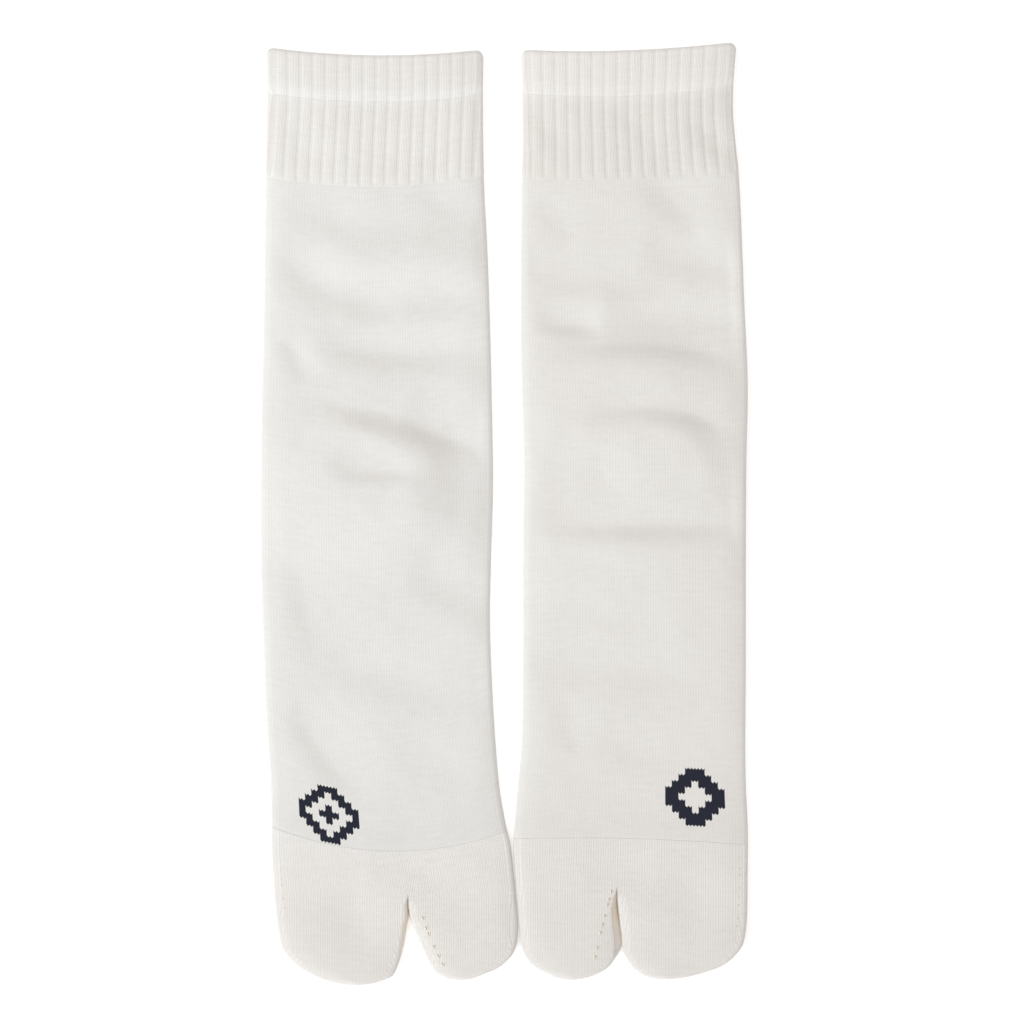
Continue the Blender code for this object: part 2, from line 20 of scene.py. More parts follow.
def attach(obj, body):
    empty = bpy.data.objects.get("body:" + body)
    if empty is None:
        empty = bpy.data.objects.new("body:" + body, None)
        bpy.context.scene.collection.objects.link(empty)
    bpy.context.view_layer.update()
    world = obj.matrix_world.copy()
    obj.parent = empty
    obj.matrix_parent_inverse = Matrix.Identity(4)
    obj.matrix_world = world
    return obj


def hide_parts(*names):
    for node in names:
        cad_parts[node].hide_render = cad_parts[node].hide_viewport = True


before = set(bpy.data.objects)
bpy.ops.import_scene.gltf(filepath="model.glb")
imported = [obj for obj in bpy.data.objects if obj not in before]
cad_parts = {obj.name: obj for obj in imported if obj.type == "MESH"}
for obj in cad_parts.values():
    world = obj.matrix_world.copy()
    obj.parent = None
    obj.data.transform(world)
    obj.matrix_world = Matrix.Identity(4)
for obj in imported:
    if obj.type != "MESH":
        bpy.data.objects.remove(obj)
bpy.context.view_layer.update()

# %% [markdown]
# ## Sizes
#
# Lengths are in metres and close to the solid model's, because a shell on other
# sizes would hang off its solid or hide inside it. Some walls are a little thinner,
# which leaves room for creases.

# %% Wall and tube sizes
WELT_WALL = 0.0028
RIB_WALL = 0.0022
LEG_WALL = 0.0012
TOE_WALL = 0.0024

WELT_HEIGHT = 0.0074     # from the table to the top, at a side fold
RIB_HEIGHT = 0.0066
LEG_HEIGHT = 0.0064
TOE_START_HEIGHT = 0.0068
SPLIT_HEIGHT = 0.0069
TOE_HEIGHT = 0.0076

SINK_WIDTH = 0.0070      # creases and lumps die away this near to a side fold
DOME = 0.0005            # how much higher the upper panel is in the middle
EDGE_DROP = 0.0009       # how much lower it is at its side folds
EDGE_REACH = 0.0118      # and how far in from a fold that starts
LEAST_HOLLOW = 0.0002
TUCK = 0.0006            # each piece's end slips this far under its neighbour

POCKET_THICKNESS = 0.0023
POCKET_LIFT = 0.0025
POCKET_MARGIN = 0.0032   # how far out the lower panel stays fully lifted
POCKET_RAMP = 0.0060     # how far it then takes to come down
POCKET_LOWER_REACH = 0.0040
POCKET_POWER = 2.5       # 2 would be an ellipse, and more is squarer

# %% [markdown]
# ## Gauge
#
# A sock machine has a fixed ring of needles, and each knits one wale, a column
# of stitches. So the wales are as many all the way down, and only their width
# changes. Rows of stitches are called courses.

# %% Knitting gauge
WALES = 144
RIBS = 36
WALES_PER_RIB = WALES // RIBS
COURSE = 0.00066
RIB_RAISE = 0.00023
WELT_RAISE = 0.00015
print("wales to a rib", WALES_PER_RIB)

# %% [markdown]
# ## Tables
#
# Shapes are short tables in millimetres, with turns in degrees. A smooth curve is
# drawn through an outline's rows.

# %% Kinds of row
Edge = namedtuple("Edge", "y left right")
Course = namedtuple("Course", "left middle right")
Crease = namedtuple("Crease", "x y half_length far near depth bow turn")
Pocket = namedtuple("Pocket", "x y half_width reach")
Mound = namedtuple("Mound", "x y half_width reach rise north east south west turn")
Lobe = namedtuple("Lobe", "rows tip_x tip_y slant")
Size = namedtuple("Size", "height wall inset")
Stitch = namedtuple("Stitch", "point wale course")
Sock = namedtuple(
    "Sock",
    "name edges top_edge welt_end rib_end toe_start rib_lean creases back_creases pocket mounds "
    "split_x split_y lobes",
)


def table(kind, *rows):
    """Rows with named columns, from millimetres, with turns left in degrees."""
    units = [1.0 if column == "turn" else 1000.0 for column in kind._fields]
    return tuple(kind(*(value / unit for value, unit in zip(row, units))) for row in rows)


# %% Side folds: y, then where the left and right folds are
RIGHT_EDGES = table(
    Edge,
    (195, -100.3, -9.2),
    (172.4, -100.3, -9.4),
    (138.8, -100.8, -8.8),
    (113.6, -101.3, -7.5),
    (80, -101.7, -6.3),
    (46.4, -102.6, -5.5),
    (12.8, -103, -5),
    (-20.8, -103, -5.9),
    (-46, -102.1, -6.3),
    (-79.6, -100.9, -5),
    (-113.2, -98.8, -2.5),
    (-130, -98.4, 0.2),
    (-138.4, -98.4, 2.2),
    (-155.2, -97.5, 4),
    (-164, -96.7, 4.8),
)
LEFT_EDGES = table(
    Edge,
    (198, 6.4, 97),
    (172.4, 7.1, 95.5),
    (155.6, 7.3, 96.7),
    (138.8, 6.8, 98.5),
    (88.4, 6.4, 100.6),
    (54.8, 6.8, 102),
    (21.2, 7.7, 101.4),
    (-12.4, 7.3, 101.2),
    (-62.8, 7.3, 101.2),
    (-96.4, 6.8, 101),
    (-113.2, 5.4, 101.2),
    (-130, 4.1, 102),
    (-138.4, 3.5, 102.1),
    (-155.2, 4.3, 101.9),
    (-164, 5.1, 101.9),
)

# %% [markdown]
# ## Creases
#
# Cloth that was folded and then smoothed by hand keeps soft troughs. A row has
# its middle, half its length, the widths of its far side (north) and near side
# (south), its depth, its bow and its turn. One steep side makes a fold, and two
# even sides a groove drawn with a finger. A depth below zero makes a ridge.

# %% Creases of the upper panels
RIGHT_CREASES = table(
    Crease,
    (-54, 174.9, 52, 8, 8, 0.36, 0, 1),
    (-54, 149.3, 52, 6.5, 6.2, 0.36, 0, -1),
    (-88, 160, 16, 9, 7, 0.48, 0, -70),
    (-53, 120.5, 44, 10, 8.5, 0.96, 6, -6),
    (-43, 107.5, 46, 18, 9.5, -0.96, 2, 2),
    (-71.4, 94.6, 31, 11, 8, 1.3, 3, -24),
    (-37.8, 89.8, 31, 11, 7.2, 1.4, 0, 8),
    (-44, 68.6, 40, 11, 7.2, 2.1, 4, -1.5),
    (-87, 65.5, 13, 7, 4.8, 0.8, 0, -62),
    (-26, 131, 16, 9, 7, 0.72, 0, -35),
    (-25, 33, 21, 15, 5.4, 1.7, 0, -20),
    (-53, 18.8, 24, 11, 4.8, 1.5, 0, 0),
    (-72, 8, 28, 1.4, 1.2, 0.12, 0, 0),
    (-42.5, -70, 47, 15, 11, 1.4, 6, -12),
    (-82.3, -39, 26, 15, 7, 0.96, 0, -79),
    (-29, 1, 24, 20, 13, -0.96, 0, -20),
    (-24, -30, 19, 11, 8, 0.84, 0, -24),
    (-76.2, -99, 29, 20, 6.6, 1.2, 6, -55),
    (-30, -105, 22, 11, 9, 0.48, 0, -18),
    (-63, -172, 23, 11, 10.5, 0.96, 0, -72),
    (-39, -151, 19, 7, 7, 0.48, 0, -8),
)
LEFT_CREASES = table(
    Crease,
    (18, 162, 15, 8, 6, 0.6, 0, -58),
    (56, 164, 14, 8, 6, 0.48, 0, -40),
    (87, 158, 15, 8, 6, 0.72, 0, -52),
    (72, 131, 21, 12, 7.5, 1.2, 0, -46),
    (21.5, 124, 16, 9, 6, 0.6, 0, -50),
    (40, 99, 38, 14, 7.5, 1.2, 0, -2),
    (80, 106.5, 25, 11, 10, 1.8, 0, -8),
    (26.5, 79.4, 16, 8, 3.4, 1.1, 0, -4),
    (74, 85, 34, 11, 8.4, 1.9, -3, -2),
    (61, 72.2, 43, 12, 5.4, 1.9, -7, -3),
    (61, 45.2, 44, 10, 4.8, 1.1, -12, -4),
    (58, -3.5, 48, 20, 6.2, 2.7, 0, 0.6),
    (42, 16, 15, 16, 7, 0.72, 0, -82),
    (47, -43, 26, 10, 6, 0.48, 4, -14),
    (47, -65, 44, 12, 8, 0.72, 0, -2),
    (27.5, -88, 16, 8, 5.6, 0.48, 0, -75),
    (60, -100, 26, 11, 8, 0.6, 0, -10),
    (79, -164, 20, 13, 11, 0.96, 0, -62),
    (48, -149, 17, 7, 7, 0.48, 0, 6),
)

# %% [markdown]
# On the lower panels a trough is a place where the cloth stands off the table.

# %% Creases of the lower panels
RIGHT_BACK_CREASES = table(
    Crease,
    (-50, 112, 36, 8, 6, 0.7, 5, 5),
    (-58, 80, 30, 7, 5, 0.8, -4, 9),
    (-45, 57, 34, 6, 5, 0.9, 3, -4),
    (-56, -56, 34, 8, 6, 0.8, -6, 8),
    (-38, -102, 28, 8, 6, 0.6, 0, 40),
)
LEFT_BACK_CREASES = table(
    Crease,
    (50, 122, 30, 8, 6, 0.6, 0, 24),
    (54, 82, 36, 7, 5, 0.9, 4, -5),
    (46, 60, 34, 6, 5, 0.7, 0, 6),
    (56, -52, 36, 8, 6, 0.7, 5, -3),
    (46, -96, 30, 8, 6, 0.6, 0, -28),
)

# %% [markdown]
# The upper panel goes over each folded heel pocket in soft mounds, steep towards
# the cuff and slow towards the foot. They have their own sizes, because thick cloth
# does not follow closely what is under it. north, east, south and west are how far
# each side takes to come down.

# %% Mounds over the heel pockets
RIGHT_MOUNDS = table(Mound, (-64, 11.5, 38.8, 29, 3.1, 11, 26, 46.3, 64, -8))
LEFT_MOUNDS = table(
    Mound,
    (54, 15, 55, 59, 2.8, 28, 90, 65, 90, 0),
    (62.5, 14, 27.5, 27.5, 1.45, 11, 15, 44, 44, 0),
)

# %% [markdown]
# A toe's rows stop a little before its tip. The slant is how far its side leans
# away from the slit.

# %% Toes
RIGHT_FOUR_TOES = Lobe(
    table(
        Edge,
        (-163.2, -96.8, -40.9),
        (-169.3, -96.2, -40.5),
        (-172, -95.8, -41),
        (-180.4, -94.2, -42.3),
        (-185.4, -91.6, -43.6),
        (-190.5, -86.2, -45.4),
        (-193.8, -80.3, -47),
    ),
    tip_x=-0.0626, tip_y=-0.1978, slant=0.0007,
)
RIGHT_BIG_TOE = Lobe(
    table(
        Edge,
        (-163.2, -40.7, 4.8),
        (-169.3, -40.1, 5.3),
        (-172, -38.9, 5.5),
        (-180.4, -35.7, 4.9),
        (-185.4, -33.3, 2.7),
        (-190.5, -30.7, -2.9),
        (-193.5, -27.7, -9.7),
    ),
    tip_x=-0.0190, tip_y=-0.1956, slant=0.0006,
)
LEFT_BIG_TOE = Lobe(
    table(
        Edge,
        (-160, 4.9, 46.8),
        (-172, 5.8, 48.2),
        (-180.4, 6.5, 49.1),
        (-183.8, 7.5, 48),
        (-187.1, 9.4, 45.8),
        (-190.5, 12.9, 43),
        (-193.2, 18.1, 38.4),
    ),
    tip_x=0.0275, tip_y=-0.1956, slant=0.0026,
)
LEFT_FOUR_TOES = Lobe(
    table(
        Edge,
        (-160, 47, 101.9),
        (-172, 48.4, 101.5),
        (-180.4, 49.3, 100),
        (-183.8, 49.6, 97.9),
        (-187.1, 51.1, 94.8),
        (-190.5, 53.6, 89.3),
        (-193.2, 57.2, 81),
    ),
    tip_x=0.0672, tip_y=-0.1954, slant=0.0,
)

# %% The two socks
SOCKS = (
    Sock(
        name="right",
        edges=RIGHT_EDGES,
        top_edge=Course(0.1962, 0.1927, 0.1952),
        welt_end=Course(0.1772, 0.1733, 0.1766),
        rib_end=Course(0.1418, 0.1376, 0.1422),
        toe_start=Course(-0.1310, -0.1413, -0.1330),
        rib_lean=0.0017,
        creases=RIGHT_CREASES,
        back_creases=RIGHT_BACK_CREASES,
        pocket=Pocket(x=-0.0570, y=0.0110, half_width=0.0340, reach=0.0260),
        mounds=RIGHT_MOUNDS,
        split_x=-0.0408,
        split_y=-0.1622,
        lobes=(RIGHT_FOUR_TOES, RIGHT_BIG_TOE),
    ),
    Sock(
        name="left",
        edges=LEFT_EDGES,
        top_edge=Course(0.1951, 0.1948, 0.1984),
        welt_end=Course(0.1772, 0.1758, 0.1806),
        rib_end=Course(0.1414, 0.1407, 0.1430),
        toe_start=Course(-0.1362, -0.1360, -0.1388),
        rib_lean=0.0,
        creases=LEFT_CREASES,
        back_creases=LEFT_BACK_CREASES,
        pocket=Pocket(x=0.0620, y=-0.0050, half_width=0.0290, reach=0.0460),
        mounds=LEFT_MOUNDS,
        split_x=0.0469,
        split_y=-0.1590,
        lobes=(LEFT_BIG_TOE, LEFT_FOUR_TOES),
    ),
)
print("socks", [sock.name for sock in SOCKS])

# %% [markdown]
# ## Curves through the tables
#
# A knitted edge has no corners, so a cubic runs through the rows, with its slope
# at each row taken from the rows beside it.


# %% Blends and smooth rows
def mix(start, end, share):
    """The value that lies a share of the way from start to end."""
    return start + (end - start) * share


def smooth_step(share):
    """0 to 1 with a soft start and end."""
    inside = min(max(share, 0.0), 1.0)
    return inside * inside * (3.0 - 2.0 * inside)


def read_rows(rows, y, column):
    """A column at y, on a smooth curve through rows that run down in y."""
    last = len(rows) - 1
    y = min(max(y, rows[last].y), rows[0].y)
    index = 0
    while index < last - 1 and y < rows[index + 1].y:
        index += 1
    before = rows[max(index - 1, 0)]
    upper = rows[index]
    lower = rows[index + 1]
    after = rows[min(index + 2, last)]
    values = [getattr(row, column) for row in (before, upper, lower, after)]
    span = lower.y - upper.y
    slope_in = (values[2] - values[0]) / (lower.y - before.y) * span
    slope_out = (values[3] - values[1]) / (after.y - upper.y) * span
    share = (y - upper.y) / span
    squared = share * share
    cubed = squared * share
    return (
        values[1] * (2.0 * cubed - 3.0 * squared + 1.0)
        + slope_in * (cubed - 2.0 * squared + share)
        + values[2] * (3.0 * squared - 2.0 * cubed)
        + slope_out * (cubed - squared)
    )


def read_sides(rows, left_y, right_y):
    """The left side at one y and the right side at another."""
    return read_rows(rows, left_y, "left"), read_rows(rows, right_y, "right")


# %% Courses across a sock
def course_y(course, share):
    """y of a course at a share of the way from its left fold to its right fold."""
    bow = course.middle - (course.left + course.right) / 2.0
    return mix(course.left, course.right, share) + 4.0 * bow * share * (1.0 - share)


def between(upper, lower, share):
    """The course that lies a share of the way from one course down to another."""
    return Course(*(mix(a, b, share) for a, b in zip(upper, lower)))


def shifted(course, rise):
    """A course moved along +Y."""
    return Course(*(value + rise for value in course))


def course_sides(sock, course):
    """Where a course meets the two side folds."""
    return read_sides(sock.edges, course.left, course.right)


# %% [markdown]
# ## Heights of the two panels
#
# A sock that lies flat is two panels, one on the other. The lower one rests on
# the table, except where the heel pocket holds it up. The upper one has the
# creases, and a slow unevenness that stops it looking pressed.


# %% Heel pocket under the lower panel
def outside_pocket(pocket, x, y):
    """About how far a point is outside the pocket's outline, negative inside it."""
    if y < pocket.y:
        past_end = max(abs(x - pocket.x) - pocket.half_width + POCKET_LOWER_REACH, 0.0)
        return hypot(past_end, y - pocket.y) - POCKET_LOWER_REACH
    across = abs(x - pocket.x) / pocket.half_width
    along = (y - pocket.y) / pocket.reach
    level = (across**POCKET_POWER + along**POCKET_POWER) ** (1.0 / POCKET_POWER)
    if level < 0.5:
        return -POCKET_LOWER_REACH
    steep_x = (across / level) ** (POCKET_POWER - 1.0) / pocket.half_width
    steep_y = (along / level) ** (POCKET_POWER - 1.0) / pocket.reach
    return (level - 1.0) / hypot(steep_x, steep_y)


def back_lift(pocket, x, y):
    """How high the lower panel is held off the table by the pocket under it."""
    distance = outside_pocket(pocket, x, y)
    return POCKET_LIFT * (1.0 - smooth_step((distance - POCKET_MARGIN) / POCKET_RAMP))


# %% Mound over the heel pocket
INSIDE_SHARE = 0.6       # how much of a slope lies inside the mound's outline
MOUND_POWER = 2.3        # 2 would be an ellipse, and more is squarer


def turned(row, x, y):
    """How far a point is along and across a row's own direction, from its middle."""
    turn = radians(row.turn)
    along = (x - row.x) * cos(turn) + (y - row.y) * sin(turn)
    return along, (y - row.y) * cos(turn) - (x - row.x) * sin(turn)


def mound_rise(mound, x, y):
    """How much a mound raises the upper panel at a point."""
    east, north = turned(mound, x, y)
    reach = hypot(east, north)
    if reach < 1e-6:
        return mound.rise
    across = abs(east / mound.half_width) ** MOUND_POWER
    along = abs(north / mound.reach) ** MOUND_POWER
    outside = reach - reach / (across + along) ** (1.0 / MOUND_POWER)
    slope_x = mound.east if east > 0.0 else mound.west
    slope_y = mound.north if north > 0.0 else mound.south
    slope = mix(slope_y, slope_x, (east / reach) ** 2)
    return mound.rise * (1.0 - smooth_step(outside / slope + INSIDE_SHARE))


# %% Creases and unevenness
LUMP_SIZE = 0.016
LUMP_DEPTH = 0.00030
LUMP_SQUEEZE = 0.7       # less than 1, so lumps are longer across the sock than along it
FINE_LUMP_SIZE = 0.0055
FINE_LUMP_DEPTH = 0.00005
LUMP_PLANE, FINE_LUMP_PLANE = 3.7, 9.1   # slices through the noise
SOFT_STOP = 0.0003       # how gently the panels come to rest on each other


def crease_depth(creases, x, y):
    """How deep the creases are at a point."""
    total = 0.0
    for crease in creases:
        along, aside = turned(crease, x, y)
        reach = along / crease.half_length
        if abs(reach) < 1.0:
            offset = aside - crease.bow * reach * reach
            offset /= crease.far if offset > 0.0 else crease.near
            fade = (1.0 - abs(reach) ** 3) ** 2
            total += crease.depth * fade * exp(-offset * offset)
    return total


def lumps(x, y):
    """Slow and fine unevenness of the upper panel."""
    slow = noise.noise(Vector((x / LUMP_SIZE * LUMP_SQUEEZE, y / LUMP_SIZE, LUMP_PLANE)))
    fine = noise.noise(Vector((x / FINE_LUMP_SIZE, y / FINE_LUMP_SIZE, FINE_LUMP_PLANE)))
    return LUMP_DEPTH * slow + FINE_LUMP_DEPTH * fine


def edge_drop(side_distance):
    """How much the upper panel falls near a side fold."""
    return EDGE_DROP * max(1.0 - side_distance / EDGE_REACH, 0.0) ** 2


def panel_heights(sock, x, y, size, side_distance, half_width):
    """Underside and top of the flat tube at a point."""
    soft = smooth_step(side_distance / SINK_WIDTH)
    low = back_lift(sock.pocket, x, y) + soft * crease_depth(sock.back_creases, x, y)
    dome = DOME * (1.0 - (1.0 - side_distance / half_width) ** 2) - edge_drop(side_distance)
    uneven = lumps(x, y) - crease_depth(sock.creases, x, y)
    mound = sum(mound_rise(mound, x, y) for mound in sock.mounds)
    high = size.height + dome + mound + soft * uneven
    least = low + 2.0 * size.wall + LEAST_HOLLOW
    return low, (high + least + hypot(high - least, SOFT_STOP)) / 2.0


# %% [markdown]
# ## Rings
#
# Across its width the tube is two flat panels joined by two round folds. Points
# spaced by length round that oval keep every wale the same width. A fold in cloth
# is squarer than a half circle, so its sine and cosine are raised to a power.

# %% A flat-sided oval by length
FOLD_POWER = 0.42


def squarer(value):
    """A sine or cosine pushed outwards."""
    return copysign(abs(value) ** FOLD_POWER, value)


def oval_by_length(share, half_width, radius):
    """A point and outward direction on a flat-sided oval, by its length round.

    It starts at the far left and goes over the top. x is from the middle and
    z from the underside.
    """
    flat = 2.0 * (half_width - radius)
    quarter = pi * radius / 2.0
    run = (share % 1.0) * (2.0 * flat + 4.0 * quarter)
    if run < quarter:
        angle = pi - run / radius
    elif run < quarter + flat:
        return radius - half_width + run - quarter, 2.0 * radius, 0.0, 1.0
    elif run < 3.0 * quarter + flat:
        angle = pi / 2.0 - (run - quarter - flat) / radius
    elif run < 3.0 * quarter + 2.0 * flat:
        return half_width - radius - (run - 3.0 * quarter - flat), 0.0, 0.0, -1.0
    else:
        angle = 1.5 * pi - (run - 3.0 * quarter - 2.0 * flat) / radius
    cosine = cos(angle)
    sine = sin(angle)
    x = copysign(half_width - radius, cosine) + radius * squarer(cosine)
    return x, radius + radius * squarer(sine), cosine, sine


def lay_point(sock, course, sides, x, z, size):
    """Puts an oval's point on its course, between the panels' real heights.

    z runs from size.inset to size.height - size.inset.
    """
    left, right = sides
    y = course_y(course, (x - left) / (right - left))
    side_distance = max(min(x - left, right - x), 0.0)
    low, high = panel_heights(sock, x, y, size, side_distance, (right - left) / 2.0)
    share = (z - size.inset) / (size.height - 2.0 * size.inset)
    return Vector((x, y, mix(low + size.inset, high - size.inset, share)))


# %% [markdown]
# ## One ring of a tube
#
# On the cuff the ribs push each ring out. Three wales of each four stand proud and
# one lies back. Underneath, the crests rest on the table and the furrows lift off it.

# %% Rings with ribs
CORNER_RADIUS = 0.0032
FURROW_REACH = 0.32      # half a furrow's width as a share of a rib
UNDER_SHARE = 0.6        # how far furrows lift underneath, as a share of a crest's height


def rib_hump(wale):
    """0 in a furrow to 1 on a crest, by the wale's number."""
    phase = ((wale - 0.5) / WALES_PER_RIB) % 1.0
    return smooth_step(min(phase, 1.0 - phase) / FURROW_REACH)


def corner_drop(side_distance):
    """How far a rounded corner falls back at a distance from the side fold."""
    if side_distance >= CORNER_RADIUS:
        return 0.0
    return CORNER_RADIUS - sqrt(CORNER_RADIUS**2 - (CORNER_RADIUS - side_distance) ** 2)


def tube_ring(sock, course, size, columns, number, raise_by=0.0, lean=0.0, corner=0.0):
    """One ring of a tube, as a list of stitches."""
    sides = course_sides(sock, course)
    middle = (sides[0] + sides[1]) / 2.0
    half_width = (sides[1] - sides[0]) / 2.0 - size.inset
    radius = size.height / 2.0 - size.inset
    round_length = 4.0 * (half_width - radius) + tau * radius
    ring = []
    for column in range(columns + 1):
        share = column / columns
        x, z, out_x, out_z = oval_by_length(share - lean / round_length, half_width, radius)
        point = lay_point(sock, course, sides, middle + x, z + size.inset, size)
        point.y -= corner * corner_drop(max(half_width + size.inset - abs(x), 0.0))
        if raise_by:
            hump = rib_hump(share * WALES)
            upward = smooth_step(z / size.height * 2.0)
            point.x += out_x * raise_by * hump * upward
            point.z += out_z * raise_by * hump * upward
            point.z += raise_by * UNDER_SHARE * (1.0 - hump) * (1.0 - upward)
        ring.append(Stitch(point, share * WALES, number))
    return ring


# %% [markdown]
# ## From rings to a mesh
#
# Each run of rings starts as a grid primitive. Every vertex moves to its stitch,
# and the stitch's numbers go into the UV map. Edges that then lie on each other are
# merged, which closes the tube.

# %% Grid to cloth
WELD = 2e-6
SLIVER = 1e-7
SHARP_ANGLE = radians(42.0)
STITCH_MAP = "stitches"


def new_object(name, data):
    """An object in the scene."""
    made = bpy.data.objects.new(name, data)
    bpy.context.scene.collection.objects.link(made)
    return made


def new_cloth():
    """An empty mesh with a UV map for stitch numbers."""
    mesh = bmesh.new()
    mesh.loops.layers.uv.new(STITCH_MAP)
    return mesh


def add_cloth(mesh, rings):
    """Adds a grid with one vertex for each stitch of the rings."""
    columns = len(rings[0]) - 1
    rows = len(rings) - 1
    layer = mesh.loops.layers.uv[STITCH_MAP]
    made = bmesh.ops.create_grid(mesh, x_segments=columns, y_segments=rows, size=1.0)["verts"]
    for vertex in made:
        column = round((vertex.co.x + 1.0) / 2.0 * columns)
        row = round((vertex.co.y + 1.0) / 2.0 * rows)
        stitch = rings[row][column]
        vertex.co = stitch.point
        for loop in vertex.link_loops:
            loop[layer].uv = (stitch.wale, stitch.course)


def finish_cloth(mesh, name, material):
    """Welds the seams of a cloth mesh and makes it an object."""
    bmesh.ops.remove_doubles(mesh, verts=mesh.verts, dist=WELD)
    bmesh.ops.dissolve_degenerate(mesh, dist=SLIVER, edges=mesh.edges)
    bmesh.ops.recalc_face_normals(mesh, faces=mesh.faces)
    open_edges = sum(not edge.is_manifold for edge in mesh.edges)
    data = bpy.data.meshes.new(name)
    mesh.to_mesh(data)
    mesh.free()
    data.materials.append(material)
    data.shade_smooth()
    data.set_sharp_from_angle(angle=SHARP_ANGLE)
    piece = new_object(name, data)
    triangles = sum(len(face.vertices) - 2 for face in data.polygons)
    print(name, "triangles", triangles, "open edges", open_edges)
    return piece


def cloth_piece(name, material, *sheets):
    """One object made of runs of rings."""
    mesh = new_cloth()
    for rings in sheets:
        add_cloth(mesh, rings)
    return finish_cloth(mesh, name, material)


# %% [markdown]
# ## Shader sums
#
# A knit pattern is arithmetic on the stitch numbers. A small class wraps a socket,
# and Python's own operators on it add the Math nodes.


# %% A class for shader sums
def sum_method(operation, swapped=False):
    """A method that adds one Math node."""

    def method(self, other=0.0):
        first, second = (other, self) if swapped else (self, other)
        return self.finish.node("ShaderNodeMath", {"operation": operation}, {0: first, 1: second})

    return method


class Value:
    """A number or colour on its way through a material."""

    def __init__(self, finish, socket):
        self.finish = finish
        self.socket = socket

    __add__ = sum_method("ADD")
    __radd__ = sum_method("ADD", swapped=True)
    __sub__ = sum_method("SUBTRACT")
    __rsub__ = sum_method("SUBTRACT", swapped=True)
    __mul__ = sum_method("MULTIPLY")
    __rmul__ = sum_method("MULTIPLY", swapped=True)
    __truediv__ = sum_method("DIVIDE")
    __gt__ = sum_method("GREATER_THAN")
    __lt__ = sum_method("LESS_THAN")
    __mod__ = sum_method("FLOORED_MODULO")
    __pow__ = sum_method("POWER")
    __abs__ = sum_method("ABSOLUTE")
    floor = sum_method("FLOOR")
    cosine = sum_method("COSINE")
    at_least = sum_method("MAXIMUM")


# %% A class for a material
YARN_ROUGHNESS = 0.92
YARN_SHEEN = 0.08
SHEEN_ROUGHNESS = 0.6
SPECULAR = 0.25
NOISE_DETAIL = 2.0
STREAK_ROUND = 0.2       # streaks of uneven yarn for each wale round the tube
STREAK_ALONG = 0.4       # and for each course along it
BUMP_STRENGTH = 0.7


class Finish:
    """A material that is written as sums."""

    def __init__(self, name, roughness=YARN_ROUGHNESS, sheen=YARN_SHEEN):
        self.material = bpy.data.materials.new(name)
        self.material.use_nodes = True
        self.tree = self.material.node_tree
        self.shader = self.tree.nodes["Principled BSDF"]
        self.put("Roughness", roughness)
        self.put("Sheen Weight", sheen)
        self.put("Sheen Roughness", SHEEN_ROUGHNESS)
        self.put("Specular IOR Level", SPECULAR)

    def feed(self, socket, value):
        """Links a value to a socket, or sets the socket to a plain number or colour."""
        if isinstance(value, Value):
            self.tree.links.new(value.socket, socket)
        else:
            socket.default_value = value

    def put(self, name, value):
        """Feeds one of the shader's own sockets."""
        self.feed(self.shader.inputs[name], value)

    def node(self, kind, settings, inputs, output=0):
        """Any node: its type, its settings, and the values or links of its sockets."""
        node = self.tree.nodes.new(kind)
        for key, setting in settings.items():
            setattr(node, key, setting)
        for key, value in inputs.items():
            self.feed(node.inputs[key], value)
        return Value(self, node.outputs[output])

    def colour_mix(self, share, first, second):
        """One colour fading into another. The numbers are the node's colour sockets."""
        settings = {"data_type": "RGBA", "clamp_factor": True}
        return self.node("ShaderNodeMix", settings, {0: share, 6: first, 7: second}, output=2)

    def stitch_numbers(self):
        """The wale and course numbers from the cloth's UV map."""
        where = self.node("ShaderNodeUVMap", {"uv_map": STITCH_MAP}, {})
        return [self.node("ShaderNodeSeparateXYZ", {}, {0: where}, output=axis) for axis in (0, 1)]

    def noise(self, spot, scale):
        """Irregularity, about 0.5 on average."""
        inputs = {"Vector": spot, "Scale": scale, "Detail": NOISE_DETAIL}
        return self.node("ShaderNodeTexNoise", {}, inputs)

    def speckle(self, scale):
        """Irregularity in space."""
        return self.noise(self.node("ShaderNodeTexCoord", {}, {}, output="Object"), scale)

    def streaks(self, wale, course):
        """Uneven yarn, which changes tone further round the tube than along it."""
        inputs = {0: wale * STREAK_ROUND, 1: course * STREAK_ALONG}
        return self.noise(self.node("ShaderNodeCombineXYZ", {}, inputs), 1.0)

    def bump(self, height, distance):
        """Feeds a height to the shader's normal."""
        inputs = {"Strength": BUMP_STRENGTH, "Distance": distance, "Height": height}
        self.put("Normal", self.node("ShaderNodeBump", {}, inputs))


# %% [markdown]
# ## Knit stitches
#
# Each wale is a stack of small Vs. Their legs slant down to the wale's middle, so
# their phase along the tube depends on how far they are from it. The back of
# knitting shows short bars across instead, and those fill the furrows of the cuff.

# %% Stitch heights
V_SLANT = 2.3            # how many courses the strands would rise over a whole wale
SWELL = 0.24             # how much lower a strand lies at its ends
PURL_ARCH = 0.18         # how far a bar bends, in courses


def knit_height(wale, course):
    """0 in the gaps to 1 on the strands, the course a V belongs to, and the wale's edge."""
    from_middle = abs(wale % 1.0 - 0.5)
    leg = (1.0 - ((from_middle - 0.25) * 4.0) ** 2.0).at_least(0.0)
    slanted = course + from_middle * V_SLANT
    swell = (1.0 - SWELL) + SWELL * (slanted * tau).cosine()
    return leg**0.5 * swell, slanted, (from_middle * 2.0) ** 4.0


def purl_height(wale, course):
    """Height of the bars on the back of a stitch."""
    arch = (wale * tau).cosine() * PURL_ARCH
    return 0.5 + 0.5 * ((course + arch) * tau).cosine()
